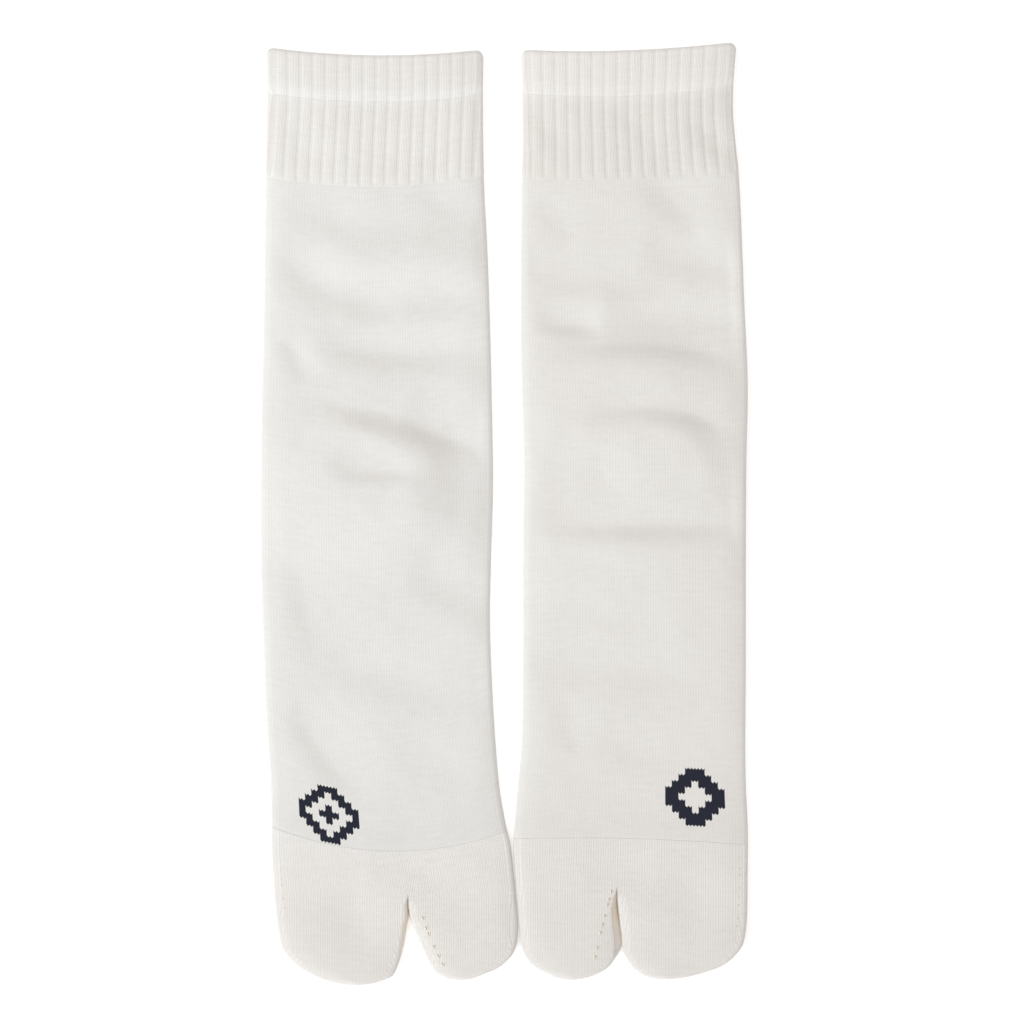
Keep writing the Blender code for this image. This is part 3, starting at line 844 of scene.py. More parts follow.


# %% [markdown]
# ## Yarn colours
#
# The yarn is an undyed white, and the two socks are not quite the same: the left
# sock's cuff is a little darker. Along each tube the white fades. The welt's lower
# courses are painted lighter, a painted highlight where its turned edge catches light,
# and the cuff's first courses carry it on. The leg's last courses are painted darker,
# painted shade above the toe. The toe is lighter where it starts and warmer further
# down. Gaps between strands are darker, because light has to bounce its way out.
# Fuzz, slow patches and streaks keep the yarn from looking printed.

# %% Colours
# The welt's end white is a painted highlight for the welt's lower edge.
Whites = namedtuple("Whites", "welt welt_end rib leg leg_end toe_start toe")
# The leg's end white is painted shade over the leg's last courses, above the toe.
WHITES = {
    "right": Whites(
        welt=(0.861, 0.848, 0.820),
        welt_end=(0.893, 0.886, 0.864),
        rib=(0.870, 0.857, 0.829),
        leg=(0.832, 0.825, 0.800),
        leg_end=(0.812, 0.806, 0.781),
        toe_start=(0.881, 0.866, 0.842),
        toe=(0.868, 0.842, 0.808),
    ),
    "left": Whites(
        welt=(0.873, 0.854, 0.824),
        welt_end=(0.882, 0.866, 0.838),
        rib=(0.834, 0.811, 0.777),
        leg=(0.823, 0.809, 0.781),
        leg_end=(0.806, 0.790, 0.762),
        toe_start=(0.861, 0.840, 0.812),
        toe=(0.860, 0.836, 0.803),
    ),
}
# Painted shade: a warm, darker white for toe cloth inside the slit, standing in for light bounced
# between the toes.
SLIT_PAINTED_SHADE = (0.890, 0.800, 0.670)
NAVY = (0.011, 0.013, 0.025)
# Painted shade darkens the navy yarn in its gaps, and painted light lightens it on its strands.
NAVY_GAP_SHADE, NAVY_STRAND_LIGHT = 0.6, 1.7           # darker in the gaps, lighter on the strands
WARM_SHADE = (0.200, 0.120, 0.060, 1.0)      # light that has bounced between strands


def tinted(colour, factor=1.0):
    """A colour made lighter or darker, with its alpha."""
    return (*(channel * factor for channel in colour), 1.0)


# %% [markdown]
# The knitted-in figure is a diamond ring, round a small diamond on one sock and
# thick on the other. It is counted out in cells of two wales by four courses, so
# its outline steps from stitch to stitch.

# %% Knitted-in figure
Figure = namedtuple("Figure", "wale course ring middle")
CELL_WALES = 2.0
CELL_COURSES = 4.0
FIGURE_REACH = 4.5       # cells from the middle to the edge
FIGURE_STEPS = 5.5       # cells across plus cells along, from the middle to the ring's edge


def figure_mask(wale, course, figure):
    """1 on the figure's stitches and 0 elsewhere."""
    across = abs(((wale.floor() + 0.5 - figure.wale) / CELL_WALES + 0.5).floor())
    along = abs(((course.floor() + 0.5 - figure.course) / CELL_COURSES + 0.5).floor())
    inside = across.at_least(along) < FIGURE_REACH
    steps = across + along
    shown = (steps > figure.ring).at_least(steps < figure.middle)
    return inside * shown * (steps < FIGURE_STEPS)


# %% Uneven yarn
Fade = namedtuple("Fade", "first second start length")
Uneven = namedtuple("Uneven", "scale strength")
FUZZ = Uneven(900.0, 0.06)
PLAIN_PATCHES = Uneven(38.0, 0.04)
RIB_PATCHES = Uneven(60.0, 0.06)
STREAK_STRENGTH = 0.12
BUMP_FUZZ = 0.6


def yarn_colour(finish, wale, course, shade, patches, fade):
    """The colour for a shade, with a white that fades into another, and the fuzz."""
    fuzz = finish.speckle(FUZZ.scale)
    slow = finish.speckle(patches.scale)
    streak = finish.streaks(wale, course)
    shade = shade + (fuzz - 0.5) * FUZZ.strength + (slow - 0.5) * patches.strength
    shade = shade + (streak - 0.5) * STREAK_STRENGTH
    share = (course - fade.start) / fade.length
    white = finish.colour_mix(share, tinted(fade.first), tinted(fade.second))
    return finish.colour_mix(shade, WARM_SHADE, white), fuzz


# %% Plain knit
EDGE_SHARE = 0.6         # how much of the groove's shade lies between two wales


def plain_knit(name, fade, groove, distance, figure=None):
    """Plain knit, with a figure knitted in if one is given."""
    finish = Finish(name)
    wale, course = finish.stitch_numbers()
    height, slanted, edge = knit_height(wale, course)
    shade = height * groove + (1.0 - groove) - edge * groove * EDGE_SHARE
    cloth, fuzz = yarn_colour(finish, wale, course, shade, PLAIN_PATCHES, fade)
    if figure:
        # The figure's navy is painted with shade in the gaps and light on the strands.
        strands = tinted(NAVY, NAVY_STRAND_LIGHT)
        yarn = finish.colour_mix(height, tinted(NAVY, NAVY_GAP_SHADE), strands)
        cloth = finish.colour_mix(figure_mask(wale, slanted, figure), cloth, yarn)
    finish.put("Base Color", cloth)
    finish.bump(height + fuzz * BUMP_FUZZ, distance)
    return finish.material


# %% Rib knit
FURROW = 0.125           # half the width of a furrow's one wale, as a share of a rib
FURROW_HEIGHT = 0.6
RIB_GROOVE = 0.05
RIB_CREST = 0.05         # how much lighter a crest is than a furrow
RIB_SHADE = 0.905
RIB_EDGE = 0.03
RIB_BUMP = 0.00018


def rib_knit(name, fade):
    """Knit wales on the crests and purl bars in the furrows."""
    finish = Finish(name)
    wale, course = finish.stitch_numbers()
    knit, _, edge = knit_height(wale, course)
    phase = ((wale - 0.5) / WALES_PER_RIB) % 1.0
    crest = (phase > FURROW) * (phase < 1.0 - FURROW)
    height = knit * crest + purl_height(wale, course) * FURROW_HEIGHT * (1.0 - crest)
    # Furrows are painted darker than crests, as painted shade in the furrows, and gaps between
    # strands are painted darker too.
    shade = height * RIB_GROOVE + crest * RIB_CREST + RIB_SHADE - edge * crest * RIB_EDGE
    cloth, fuzz = yarn_colour(finish, wale, course, shade, RIB_PATCHES, fade)
    finish.put("Base Color", cloth)
    finish.bump(height + fuzz * BUMP_FUZZ, RIB_BUMP)
    return finish.material


# %% [markdown]
# ## The path round a wall
#
# One closed path down the outside of a wall, round the rim, up the inside and
# round the other rim passes every ring once, so the whole wall is one sheet.

# %% Path down the outside and back up the inside
End = namedtuple("End", "bulge depth")
TUCKED = End(0.0, 0.0001)    # an end that lies just inside its neighbour's surface
ROUNDED = End(0.0002, 0.0)
RIM_STEPS = 6


def rim_path(course, wall, end):
    """Rings round a rim, from just past the outside to just before the inside."""
    path = []
    for step in range(1, RIM_STEPS):
        angle = pi * step / RIM_STEPS
        depth = mix(end.depth, wall, (1.0 - cos(angle)) / 2.0)
        path.append((shifted(course, end.bulge * sin(angle)), depth))
    return path


def wall_path(upper, lower, wall, rows, inner_rows, upper_end, lower_end):
    """Pairs of a course and a depth in the wall, in a closed path."""
    path = [(upper, upper_end.depth)]
    path.extend((between(upper, lower, row / rows), 0.0) for row in range(1, rows))
    path.append((lower, lower_end.depth))
    path.extend(rim_path(lower, wall, End(-lower_end.bulge, lower_end.depth)))
    for row in range(inner_rows + 1):
        path.append((between(lower, upper, row / inner_rows), wall))
    path.extend(reversed(rim_path(upper, wall, upper_end)))
    path.append(path[0])
    return path


def courses_down(start, course):
    """How many courses one course lies below another, along the middle."""
    return (start.middle - course.middle) / COURSE


# %% [markdown]
# ## Turned welt
#
# The top edge is knitted double and folded in, so it is thicker than the cuff,
# round above, and stops in a small step below. The ribs show through it softly.

# %% Make the welts
CUFF_COLUMNS = 288
WELT_ROWS, WELT_INNER_ROWS = 20, 4
WELT_STEP = 0.00004      # how far the welt's lower edge stands above the cuff
WELT_TURN = 0.0110       # how far up the welt its roundness starts
WELT_POWER = 2.5
CORNER_REACH = 0.0110
# The welt's white turns lighter near its end: a painted highlight on its lower edge.
WELT_HIGHLIGHT_FADE = (8.0, 5.0)   # the colour changes this many courses before the end, over so many


def make_welt(sock):
    """The turned top edge."""
    upper = shifted(sock.top_edge, -WELT_WALL / 2.0)
    lower = sock.welt_end
    turned_edge = End(WELT_WALL / 2.0, 0.0)
    rings = []
    for course, inset in wall_path(
        upper, lower, WELT_WALL, WELT_ROWS, WELT_INNER_ROWS, turned_edge, ROUNDED
    ):
        thinner = max(1.0 - (course.middle - lower.middle) / WELT_TURN, 0.0) ** WELT_POWER
        height = mix(WELT_HEIGHT, RIB_HEIGHT + WELT_STEP, thinner)
        raised = WELT_RAISE * (1.0 - inset / WELT_WALL)
        corner = max(1.0 - (sock.top_edge.middle - course.middle) / CORNER_REACH, 0.0) ** 2
        number = courses_down(sock.top_edge, course)
        size = Size(height, WELT_WALL, inset)
        rings.append(tube_ring(sock, course, size, CUFF_COLUMNS, number, raised, corner=corner))
    whites = WHITES[sock.name]
    # The last courses fade into a lighter white, a painted highlight on the welt's lower edge.
    start = courses_down(sock.top_edge, lower) - WELT_HIGHLIGHT_FADE[0]
    fade = Fade(whites.welt, whites.welt_end, start, WELT_HIGHLIGHT_FADE[1])
    material = rib_knit(f"{sock.name}_welt_knit_white", fade)
    return cloth_piece(f"{sock.name}_welt_knit", material, rings)


# %% [markdown]
# ## Ribbed cuff
#
# The ribs fade out over the last few courses, where the plain knit lets go of
# them. On one sock they lean a little, as the tube was laid down with a twist.

# %% Make the cuffs
RIB_ROWS, RIB_INNER_ROWS = 36, 5
RIB_FADE = 0.0030        # over this length the ribs run out into plain knit
RIB_PAST_END = 0.0003    # and they would end this far past the cuff
RIB_SETTLE = 0.0080
RIB_STEP = 0.00008       # how far the cuff's lower edge stands above the leg
UNDER_WELT = 0.0040      # over this length the ribs grow to their full height
# The cuff's first courses carry the welt's painted highlight and fade out over this many courses.
RIB_HIGHLIGHT_FADE = 7.0


def make_rib(sock):
    """The single ribbed cuff."""
    upper = shifted(sock.welt_end, TUCK)
    lower = sock.rib_end
    length = upper.middle - lower.middle
    rings = []
    for course, inset in wall_path(
        upper, lower, RIB_WALL, RIB_ROWS, RIB_INNER_ROWS, TUCKED, ROUNDED
    ):
        below = course.middle - lower.middle
        height = mix(LEG_HEIGHT + RIB_STEP, RIB_HEIGHT, smooth_step(below / RIB_SETTLE))
        size = Size(height, RIB_WALL, inset)
        raised = mix(WELT_RAISE, RIB_RAISE, smooth_step((length - below) / UNDER_WELT))
        raised *= (1.0 - inset / RIB_WALL) * smooth_step((below + RIB_PAST_END) / RIB_FADE)
        number = courses_down(sock.top_edge, course)
        lean = sock.rib_lean * (1.0 - below / length)
        rings.append(tube_ring(sock, course, size, CUFF_COLUMNS, number, raised, lean))
    whites = WHITES[sock.name]
    # The first courses start from the welt's painted highlight and fade into the rib's white.
    start = courses_down(sock.top_edge, sock.welt_end)
    fade = Fade(whites.welt_end, whites.rib, start, RIB_HIGHLIGHT_FADE)
    material = rib_knit(f"{sock.name}_rib_knit_white", fade)
    return cloth_piece(f"{sock.name}_rib_knit", material, rings)


# %% [markdown]
# ## Leg and foot
#
# The longest stretch has a small dark figure near the toe, knitted in with a
# second yarn. The material draws it by stitch numbers.

# %% Find stitch numbers for a place
HALVINGS = 24


def leg_course_number(sock, x, y):
    """The number of the leg's course that passes through a place, by bisection."""
    low = 0.0
    high = 1.0
    for _ in range(HALVINGS):
        middle = (low + high) / 2.0
        course = between(sock.rib_end, sock.toe_start, middle)
        left, right = course_sides(sock, course)
        if course_y(course, (x - left) / (right - left)) > y:
            low = middle
        else:
            high = middle
    return round(courses_down(sock.rib_end, between(sock.rib_end, sock.toe_start, low)))


def leg_wale_number(sock, x, y):
    """The number of the leg's wale at a place on the upper panel."""
    left, right = read_sides(sock.edges, y, y)
    radius = LEG_HEIGHT / 2.0
    quarter = pi * radius / 2.0
    half_round = right - left - 2.0 * radius + 2.0 * quarter
    return round((x - left - radius + quarter) / half_round * WALES / 2.0)


# %% Make the legs
LEG_COLUMNS = 192
LEG_ROWS, LEG_INNER_ROWS = 280, 70
LEG_SWELL = 0.0100       # over this length the leg thickens towards the toe
TOE_STEP = 0.00012       # how far the toe's first course stands above the foot
# The leg's white turns darker over its last courses: painted shade above the toe.
LEG_END_SHADE_FADE = (46.0, 32.0)
LEG_GROOVE = 0.05
LEG_BUMP = 0.00011
Patch = namedtuple("Patch", "x y ring middle")
PATCHES = {
    "right": Patch(-0.0737, -0.1262, 3.5, 1.5),
    "left": Patch(0.0790, -0.1190, 2.5, -0.5),     # below zero, so without a small diamond
}


def make_leg(sock):
    """The plain leg and foot."""
    patch = PATCHES[sock.name]
    wale = leg_wale_number(sock, patch.x, patch.y)
    course = leg_course_number(sock, patch.x, patch.y)
    print(sock.name, "patch is centred on wale", wale, "course", course)
    figure = Figure(wale, course, patch.ring, patch.middle)
    upper = shifted(sock.rib_end, TUCK)
    lower = shifted(sock.toe_start, -TUCK)
    rings = []
    for course, inset in wall_path(
        upper, lower, LEG_WALL, LEG_ROWS, LEG_INNER_ROWS, TUCKED, TUCKED
    ):
        swell = 1.0 - smooth_step((course.middle - sock.toe_start.middle) / LEG_SWELL)
        size = Size(mix(LEG_HEIGHT, TOE_START_HEIGHT - TOE_STEP, swell), LEG_WALL, inset)
        number = courses_down(sock.rib_end, course)
        rings.append(tube_ring(sock, course, size, LEG_COLUMNS, number))
    whites = WHITES[sock.name]
    # The last courses fade into a darker white, painted shade above the toe.
    start = courses_down(sock.rib_end, sock.toe_start) - LEG_END_SHADE_FADE[0]
    fade = Fade(whites.leg, whites.leg_end, start, LEG_END_SHADE_FADE[1])
    name = f"{sock.name}_plain_knit_white"
    material = plain_knit(name, fade, LEG_GROOVE, LEG_BUMP, figure)
    return cloth_piece(f"{sock.name}_leg_knit", material, rings)


# %% [markdown]
# ## Divided toe
#
# A divided toe is a tube that becomes two. Each half of a ring has a point over
# the split. Past it the points on either side go to one toe each, and both toes
# share a short post of points, like the seat seam of trousers. The sides that face
# the slit lean away from it, so a wedge of shaded cloth shows there.

# %% Half an oval
TOE_FOLD_STEPS = 9
Arc = namedtuple("Arc", "x rise run")


def half_oval(left, right, radius, stops):
    """The upper half of a flat-sided oval, from its far left to its far right.

    Each point has its x, its rise over the middle plane, and its length along
    the cloth from the start of the flat.
    """
    quarter = pi * radius / 2.0
    flat = right - left - 2.0 * radius
    start = []
    end = []
    for step in range(TOE_FOLD_STEPS + 1):
        share = step / TOE_FOLD_STEPS
        angle = pi * (1.0 - share / 2.0)
        x = left + radius + radius * squarer(cos(angle))
        start.append(Arc(x, radius * squarer(sin(angle)), -quarter * (1.0 - share)))
        angle = pi * (1.0 - share) / 2.0
        x = right - radius + radius * squarer(cos(angle))
        end.append(Arc(x, radius * squarer(sin(angle)), flat + quarter * share))
    return start + [Arc(left + radius + flat * stop, radius, flat * stop) for stop in stops] + end


def both_halves(points, number):
    """A ring's stitches from its points: the upper half, then the lower half backwards."""
    upper = [Stitch(high, wale, number) for wale, high, _ in points]
    return upper + [Stitch(low, WALES - wale, number) for wale, _, low in points][::-1]


def even_stops(flats):
    """The inner points of a side that is cut into equal lengths."""
    return [step / flats for step in range(1, flats)]


# %% Rings of the toe before it divides
TOE_FLATS = (38, 36)
SPLIT_ROOF = 0.0034      # the saddle over the split starts this far above it


def toe_height(share):
    """Thickness of the toe, a share of the way from its first course to the split."""
    return mix(TOE_START_HEIGHT, SPLIT_HEIGHT, share)


def toe_body_ring(sock, course, height, inset, number):
    """A ring of the toe, upper half then lower half, and its wale width."""
    sides = course_sides(sock, course)
    left = sides[0] + inset
    right = sides[1] - inset
    radius = height / 2.0 - inset
    split = (sock.split_x - left - radius) / (right - left - 2.0 * radius)
    stops = [split * stop for stop in even_stops(TOE_FLATS[0])]
    stops.append(split)
    stops.extend(mix(split, 1.0, stop) for stop in even_stops(TOE_FLATS[1]))
    size = Size(height, TOE_WALL, inset)
    arcs = half_oval(left, right, radius, stops)
    first = arcs[0].run
    pitch = (arcs[-1].run - first) / (WALES / 2.0)
    points = []
    for arc in arcs:
        high = lay_point(sock, course, sides, arc.x, height / 2.0 + arc.rise, size)
        low = lay_point(sock, course, sides, arc.x, height / 2.0 - arc.rise, size)
        points.append(((arc.run - first) / pitch, high, low))
    return both_halves(points, number), pitch


# %% Sides of one toe
TIP_ROUNDING = 0.0040
TIP_POWER = 5.0          # 2 would be an ellipse, and more is squarer
FOLD_LIMIT = 0.98        # a fold's radius is at most this share of half the toe's width


def lobe_side(lobe, y, column):
    """A toe's side at y, closed past its last row by a parabola."""
    last = lobe.rows[-1]
    if y >= last.y:
        return read_rows(lobe.rows, y, column)
    share = (last.y - y) / (last.y - lobe.tip_y)
    fullness = sqrt(max(1.0 - share, 0.0))
    middle = mix((last.left + last.right) / 2.0, lobe.tip_x, share)
    return middle + (getattr(last, column) - (last.left + last.right) / 2.0) * fullness


# %% Rings of one toe
SLANT_START = 0.0090     # the slit's sides begin to slant this far below the split
SLANT_END = -0.1880      # and stand upright again at this y
SLANT_FADE = 0.0080
SLANT_REACH = 0.0036


def toe_dome(x, left, right):
    """Height of the dome between two side folds, with its drop at the folds."""
    off_middle = (2.0 * x - left - right) / max(right - left, 1e-6)
    side_distance = max(min(x - left, right - x), 0.0)
    return DOME * max(1.0 - off_middle * off_middle, 0.0) - edge_drop(side_distance)


def lobe_ring(sock, side, share, inset, split_wale, pitch, number):
    """A ring of one toe, upper half then lower half, a share of the way to its tip."""
    lobe = sock.lobes[side]
    whole = read_sides(sock.edges, sock.split_y, sock.split_y)
    start_y = sock.split_y + inset
    y = mix(start_y, lobe.tip_y, share)
    left = lobe_side(lobe, y, "left")
    right = lobe_side(lobe, y, "right")
    from_tip = min((y - lobe.tip_y) / TIP_ROUNDING, 1.0)
    fullness = max(1.0 - (1.0 - from_tip) ** TIP_POWER, 0.0) ** (1.0 / TIP_POWER)
    height = mix(SPLIT_HEIGHT, TOE_HEIGHT, share)
    inner_side, away = (right, -1.0) if side == 0 else (left, 1.0)
    open_share = smooth_step((sock.split_y - y) / SLANT_START)
    open_share *= smooth_step((y - SLANT_END) / SLANT_FADE)
    slant = lobe.slant * open_share * away
    widest = (lobe.rows[0].right - lobe.rows[0].left) / 2.0
    half_width = (right - left) / 2.0 * (1.0 - inset / widest)
    middle = (left + right) / 2.0
    radius = min((height - 2.0 * inset) * fullness / 2.0, half_width * FOLD_LIMIT)
    laid_y = mix(start_y, lobe.tip_y + inset, share)
    stops = even_stops(TOE_FLATS[side])
    first_x = middle - half_width + radius - sock.split_x
    points = []
    for arc in half_oval(middle - half_width, middle + half_width, radius, stops):
        raised = arc.rise / max(radius, 1e-9) * fullness
        soft = smooth_step(min(arc.x - left, right - arc.x) / SINK_WIDTH)
        dome = mix(toe_dome(arc.x, *whole), toe_dome(arc.x, left, right), smooth_step(share * 2.0))
        uneven = lumps(arc.x, laid_y) - crease_depth(sock.creases, arc.x, laid_y)
        beside_slit = 1.0 - smooth_step(abs(arc.x - inner_side) / SLANT_REACH)
        x = arc.x + slant * beside_slit * raised
        high = Vector((x, laid_y, height / 2.0 + arc.rise + raised * (dome + soft * uneven)))
        low = Vector((arc.x, laid_y, height / 2.0 - arc.rise))
        points.append((split_wale + (first_x + arc.run) / pitch, high, low))
    return both_halves(points, number)


# %% The post between the two toes
def split_post(split_x, split_y, roof, floor, pitch, direction):
    """Quarter of the saddle from the roof down to its middle, and the lower quarter."""
    height = (roof.point.z - floor.point.z) / 2.0
    middle = (roof.point.z + floor.point.z) / 2.0
    upper = []
    lower = []
    for step in range(1, TOE_FOLD_STEPS + 1):
        angle = pi / 2.0 * step / TOE_FOLD_STEPS
        y = split_y + SPLIT_ROOF * (1.0 - sin(angle))
        drop = height * cos(angle)
        wale = roof.wale + direction * height * angle / pitch
        upper.append(Stitch(Vector((split_x, y, middle + drop)), wale, roof.course))
        lower.append(Stitch(Vector((split_x, y, middle - drop)), WALES - wale, roof.course))
    return upper, lower


# %% The outside or the inside of the toe
LOBE_ROWS = 34
TOE_ROWS, TOE_INNER_ROWS = 24, 8


def toe_surface(sock, inset, body_rows):
    """Three runs of rings: the toe before it divides, and each of its two parts."""
    split_y = sock.split_y + inset
    top = sock.toe_start
    bottom = Course(*(3 * [split_y + SPLIT_ROOF]))
    rings = []
    for row in range(body_rows + 1):
        share = row / body_rows
        course = between(top, bottom, share)
        number = courses_down(top, course)
        ring, pitch = toe_body_ring(sock, course, toe_height(share), inset, number)
        rings.append(ring)

    half = len(ring) // 2
    crown = TOE_FOLD_STEPS + TOE_FLATS[0]
    upper = ring[:half]
    lower = ring[half:][::-1]
    roof = upper[crown]
    sheets = [rings]
    for side, lobe in enumerate(sock.lobes):
        direction = 1.0 if side == 0 else -1.0
        post = split_post(sock.split_x, split_y, roof, lower[crown], pitch, direction)
        if side == 0:
            start_upper = upper[: crown + 1] + post[0]
            start_lower = lower[: crown + 1] + post[1]
        else:
            start_upper = post[0][::-1] + upper[crown:]
            start_lower = post[1][::-1] + lower[crown:]
        rows = [start_upper + start_lower[::-1]]
        for row in range(1, LOBE_ROWS + 1):
            share = sin(pi / 2.0 * row / LOBE_ROWS)
            fallen = bottom.middle - mix(split_y, lobe.tip_y, share)
            reached = roof.course + fallen / COURSE
            rows.append(lobe_ring(sock, side, share, inset, roof.wale, pitch, reached))
        sheets.append(rows)
    return sheets


# %% Rim of the toe's open end
TOE_RIM = 0.00012


def toe_rim(sock):
    """Rings round the rim from the outside to the inside."""
    rings = []
    for step in range(RIM_STEPS + 1):
        angle = pi * step / RIM_STEPS
        depth = TOE_WALL * (1.0 - cos(angle)) / 2.0
        rise = TOE_RIM * sin(angle)
        course = shifted(sock.toe_start, rise)
        rings.append(toe_body_ring(sock, course, toe_height(0.0), depth, -rise / COURSE)[0])
    return rings


# %% Make the toes
# Toe cloth beside the split that faces east, into the slit, takes a second material painted with
# warm shade.
SLIT_REACH = 0.0040      # how far from the split cloth counts as inside the slit
SLIT_END = -0.1830
SLIT_FACING = 0.5        # how far such cloth has to face east
SLIT_FADE = (12.0, 26.0)
SLIT_GROOVE, SLIT_BUMP = 0.04, 0.00010
PILE_FADE = (4.0, 34.0)
PILE_GROOVE, PILE_BUMP = 0.08, 0.00022


def make_toe(sock):
    """The divided toe, one thick wall round two pockets."""
    whites = WHITES[sock.name]
    pile = plain_knit(
        f"{sock.name}_pile_knit_white",
        Fade(whites.toe_start, whites.toe, *PILE_FADE), PILE_GROOVE, PILE_BUMP,
    )
    # The slit's painted shade holds near the split and fades into the toe's white further down.
    start = (sock.toe_start.middle - sock.split_y) / COURSE + SLIT_FADE[0]
    slit = plain_knit(
        f"{sock.name}_slit_knit",
        Fade(SLIT_PAINTED_SHADE, whites.toe, start, SLIT_FADE[1]), SLIT_GROOVE, SLIT_BUMP,
    )
    outside = toe_surface(sock, 0.0, TOE_ROWS)
    inside = toe_surface(sock, TOE_WALL, TOE_INNER_ROWS)
    piece = cloth_piece(f"{sock.name}_toe_knit", pile, *outside, *inside, toe_rim(sock))
    piece.data.materials.append(slit)
    for face in piece.data.polygons:
        beside = abs(face.center.x - sock.split_x) < SLIT_REACH
        if beside and face.normal.x > SLIT_FACING and SLIT_END < face.center.y < sock.split_y:
            face.material_index = 1
    return piece


# %% [markdown]
# ## Heel pocket
#
# The heel is a pouch knitted out of the back of the tube, folded flat towards the
# cuff. It is one sheet that carries on from the sole, turns over and comes back.

# %% Make the heel pockets
HEEL_COLUMNS = 72
HEEL_ROWS = 26
HEEL_FOLD_ROWS = 8
HEEL_ENDS = 0.985            # the sheet stops this share of the way to its side ends
HEEL_SHEET = 0.0011
HEEL_SOLE_REACH = 0.0085     # how far the lower layer carries on into the sole
HEEL_WALE = 0.00138          # the width of one wale


def make_heel(sock):
    """The heel pocket as a sheet folded double, in the leg's own knit."""
    pocket = sock.pocket
    fold = (POCKET_THICKNESS - HEEL_SHEET) / 2.0
    start = pocket.y - POCKET_LOWER_REACH
    rings = []
    for row in range(2 * HEEL_ROWS + HEEL_FOLD_ROWS + 1):
        ring = []
        for column in range(HEEL_COLUMNS + 1):
            across = -cos(pi * column / HEEL_COLUMNS) * HEEL_ENDS
            x = pocket.x + (pocket.half_width - fold) * across
            full = (1.0 - abs(across) ** POCKET_POWER) ** (1.0 / POCKET_POWER)
            crest = pocket.y + (pocket.reach - fold - HEEL_SHEET / 2.0) * full
            if row <= HEEL_ROWS:
                sole = start - HEEL_SOLE_REACH * full**0.5
                y = mix(sole, crest, row / HEEL_ROWS)
                z = HEEL_SHEET / 2.0
            elif row <= HEEL_ROWS + HEEL_FOLD_ROWS:
                angle = pi * (row - HEEL_ROWS) / HEEL_FOLD_ROWS
                y = crest + fold * sin(angle)
                z = HEEL_SHEET / 2.0 + fold * (1.0 - cos(angle))
            else:
                y = mix(crest, start, (row - HEEL_ROWS - HEEL_FOLD_ROWS) / HEEL_ROWS)
                z = POCKET_THICKNESS - HEEL_SHEET / 2.0
            ring.append(Stitch(Vector((x, y, z)), x / HEEL_WALE, y / COURSE))
        rings.append(ring)
    material = PIECES[sock.name, "leg"].data.materials[0]
    piece = cloth_piece(f"{sock.name}_heel_knit", material, rings)
    wall = piece.modifiers.new("sheet", "SOLIDIFY")
    wall.thickness = HEEL_SHEET
    wall.offset = 0.0
    return piece


# %% Make all the cloth
PIECES = {}
MAKERS = {"welt": make_welt, "rib": make_rib, "leg": make_leg, "toe": make_toe, "heel": make_heel}
for sock in SOCKS:
    for part, make in MAKERS.items():
        PIECES[sock.name, part] = make(sock)
print("materials", [material.name for material in bpy.data.materials])

# %% [markdown]
# ## Stitches of the toe gores
#
# Where the toes are shaped, stitches pass from needle to needle, and each leaves
# a small eyelet with a strand on either side. The split ends in a short bar of
# strands. Each is a low-sided ball, stretched and laid on the cloth by looking
# down for the surface, and an eyelet is a nearly flat one.

# %% Rows of eyelets and bars
Gore = namedtuple("Gore", "start middle end count size")
Bar = namedtuple("Bar", "left right bow count")
GORES = {
    "right": (
        Gore((-0.0343, -0.1693), (-0.0308, -0.1788), (-0.0255, -0.1895), 6, 1.3),
        Gore((-0.0940, -0.1490), (-0.0936, -0.1565), (-0.0925, -0.1650), 5, 0.6),
    ),
    "left": (
        Gore((0.0447, -0.1583), (0.0416, -0.1700), (0.0378, -0.1860), 8, 1.35),
        Gore((0.0982, -0.1440), (0.0982, -0.1585), (0.0972, -0.1730), 8, 0.7),
    ),
}
BARS = {
    "right": Bar((-0.0452, -0.1607), (-0.0392, -0.1587), 0.0012, 5),
    "left": Bar((0.0444, -0.1562), (0.0512, -0.1540), -0.0010, 6),
}
STRAND = (0.00058, 0.00019, 0.00015)     # half its length, width and height
EYELET = (0.00074, 0.00025, 0.00004)
EYELET_LIFT = 0.00003
STRAND_LIFT = 0.3        # as a share of half its height
# An eyelet's dark warm colour is painted shade for its hole.
EYELET_SHADE = (0.600, 0.470, 0.330, 1.0)
STRAND_SHADE = 0.98
SHADED, YARN = 0.0, 1.0
STRAND_OFFSET = 0.00036
STRAND_LEAN = 0.30
BAR_LEAN = 0.2
WOBBLE, WOBBLE_STEP = 0.2, 2.3   # how unevenly the eyelets are spaced
LOOK_FROM = 0.05
LOOK_AHEAD = 0.01


# %% One strand or eyelet on the cloth
def put_on_cloth(mesh, surface, x, y, turn, sizes, share):
    """Lays a stretched ball on the cloth, which for a shaded eyelet is nearly flat."""
    point, normal, _, _ = surface.ray_cast(Vector((x, y, LOOK_FROM)), Vector((0.0, 0.0, -1.0)))
    if point is None:
        raise ValueError(f"no cloth under a stitch at {x}, {y}")
    up = normal if normal.z > 0.0 else -normal
    along = Vector((cos(turn), sin(turn), 0.0))
    aside = up.cross(along).normalized()
    along = aside.cross(up)
    axes = Matrix((along, aside, up)).transposed().to_4x4()
    made = bmesh.ops.create_uvsphere(mesh, u_segments=8, v_segments=5, radius=1.0)["verts"]
    centre = point + up * (sizes[2] * STRAND_LIFT if share == YARN else EYELET_LIFT)
    place = Matrix.Translation(centre) @ axes @ Matrix.Diagonal((*sizes, 1.0))
    bmesh.ops.transform(mesh, matrix=place, verts=made)
    layer = mesh.loops.layers.uv[STITCH_MAP]
    for vertex in made:
        for loop in vertex.link_loops:
            loop[layer].uv = (share, 0.0)


# %% Make the gore stitches
def on_bend(gore, share):
    """A point on the curve that passes through a gore's three places."""
    weights = (
        (1.0 - share) * (1.0 - 2.0 * share),
        4.0 * share * (1.0 - share),
        share * (2.0 * share - 1.0),
    )
    places = zip(gore.start, gore.middle, gore.end)
    return tuple(sum(a * b for a, b in zip(place, weights)) for place in places)


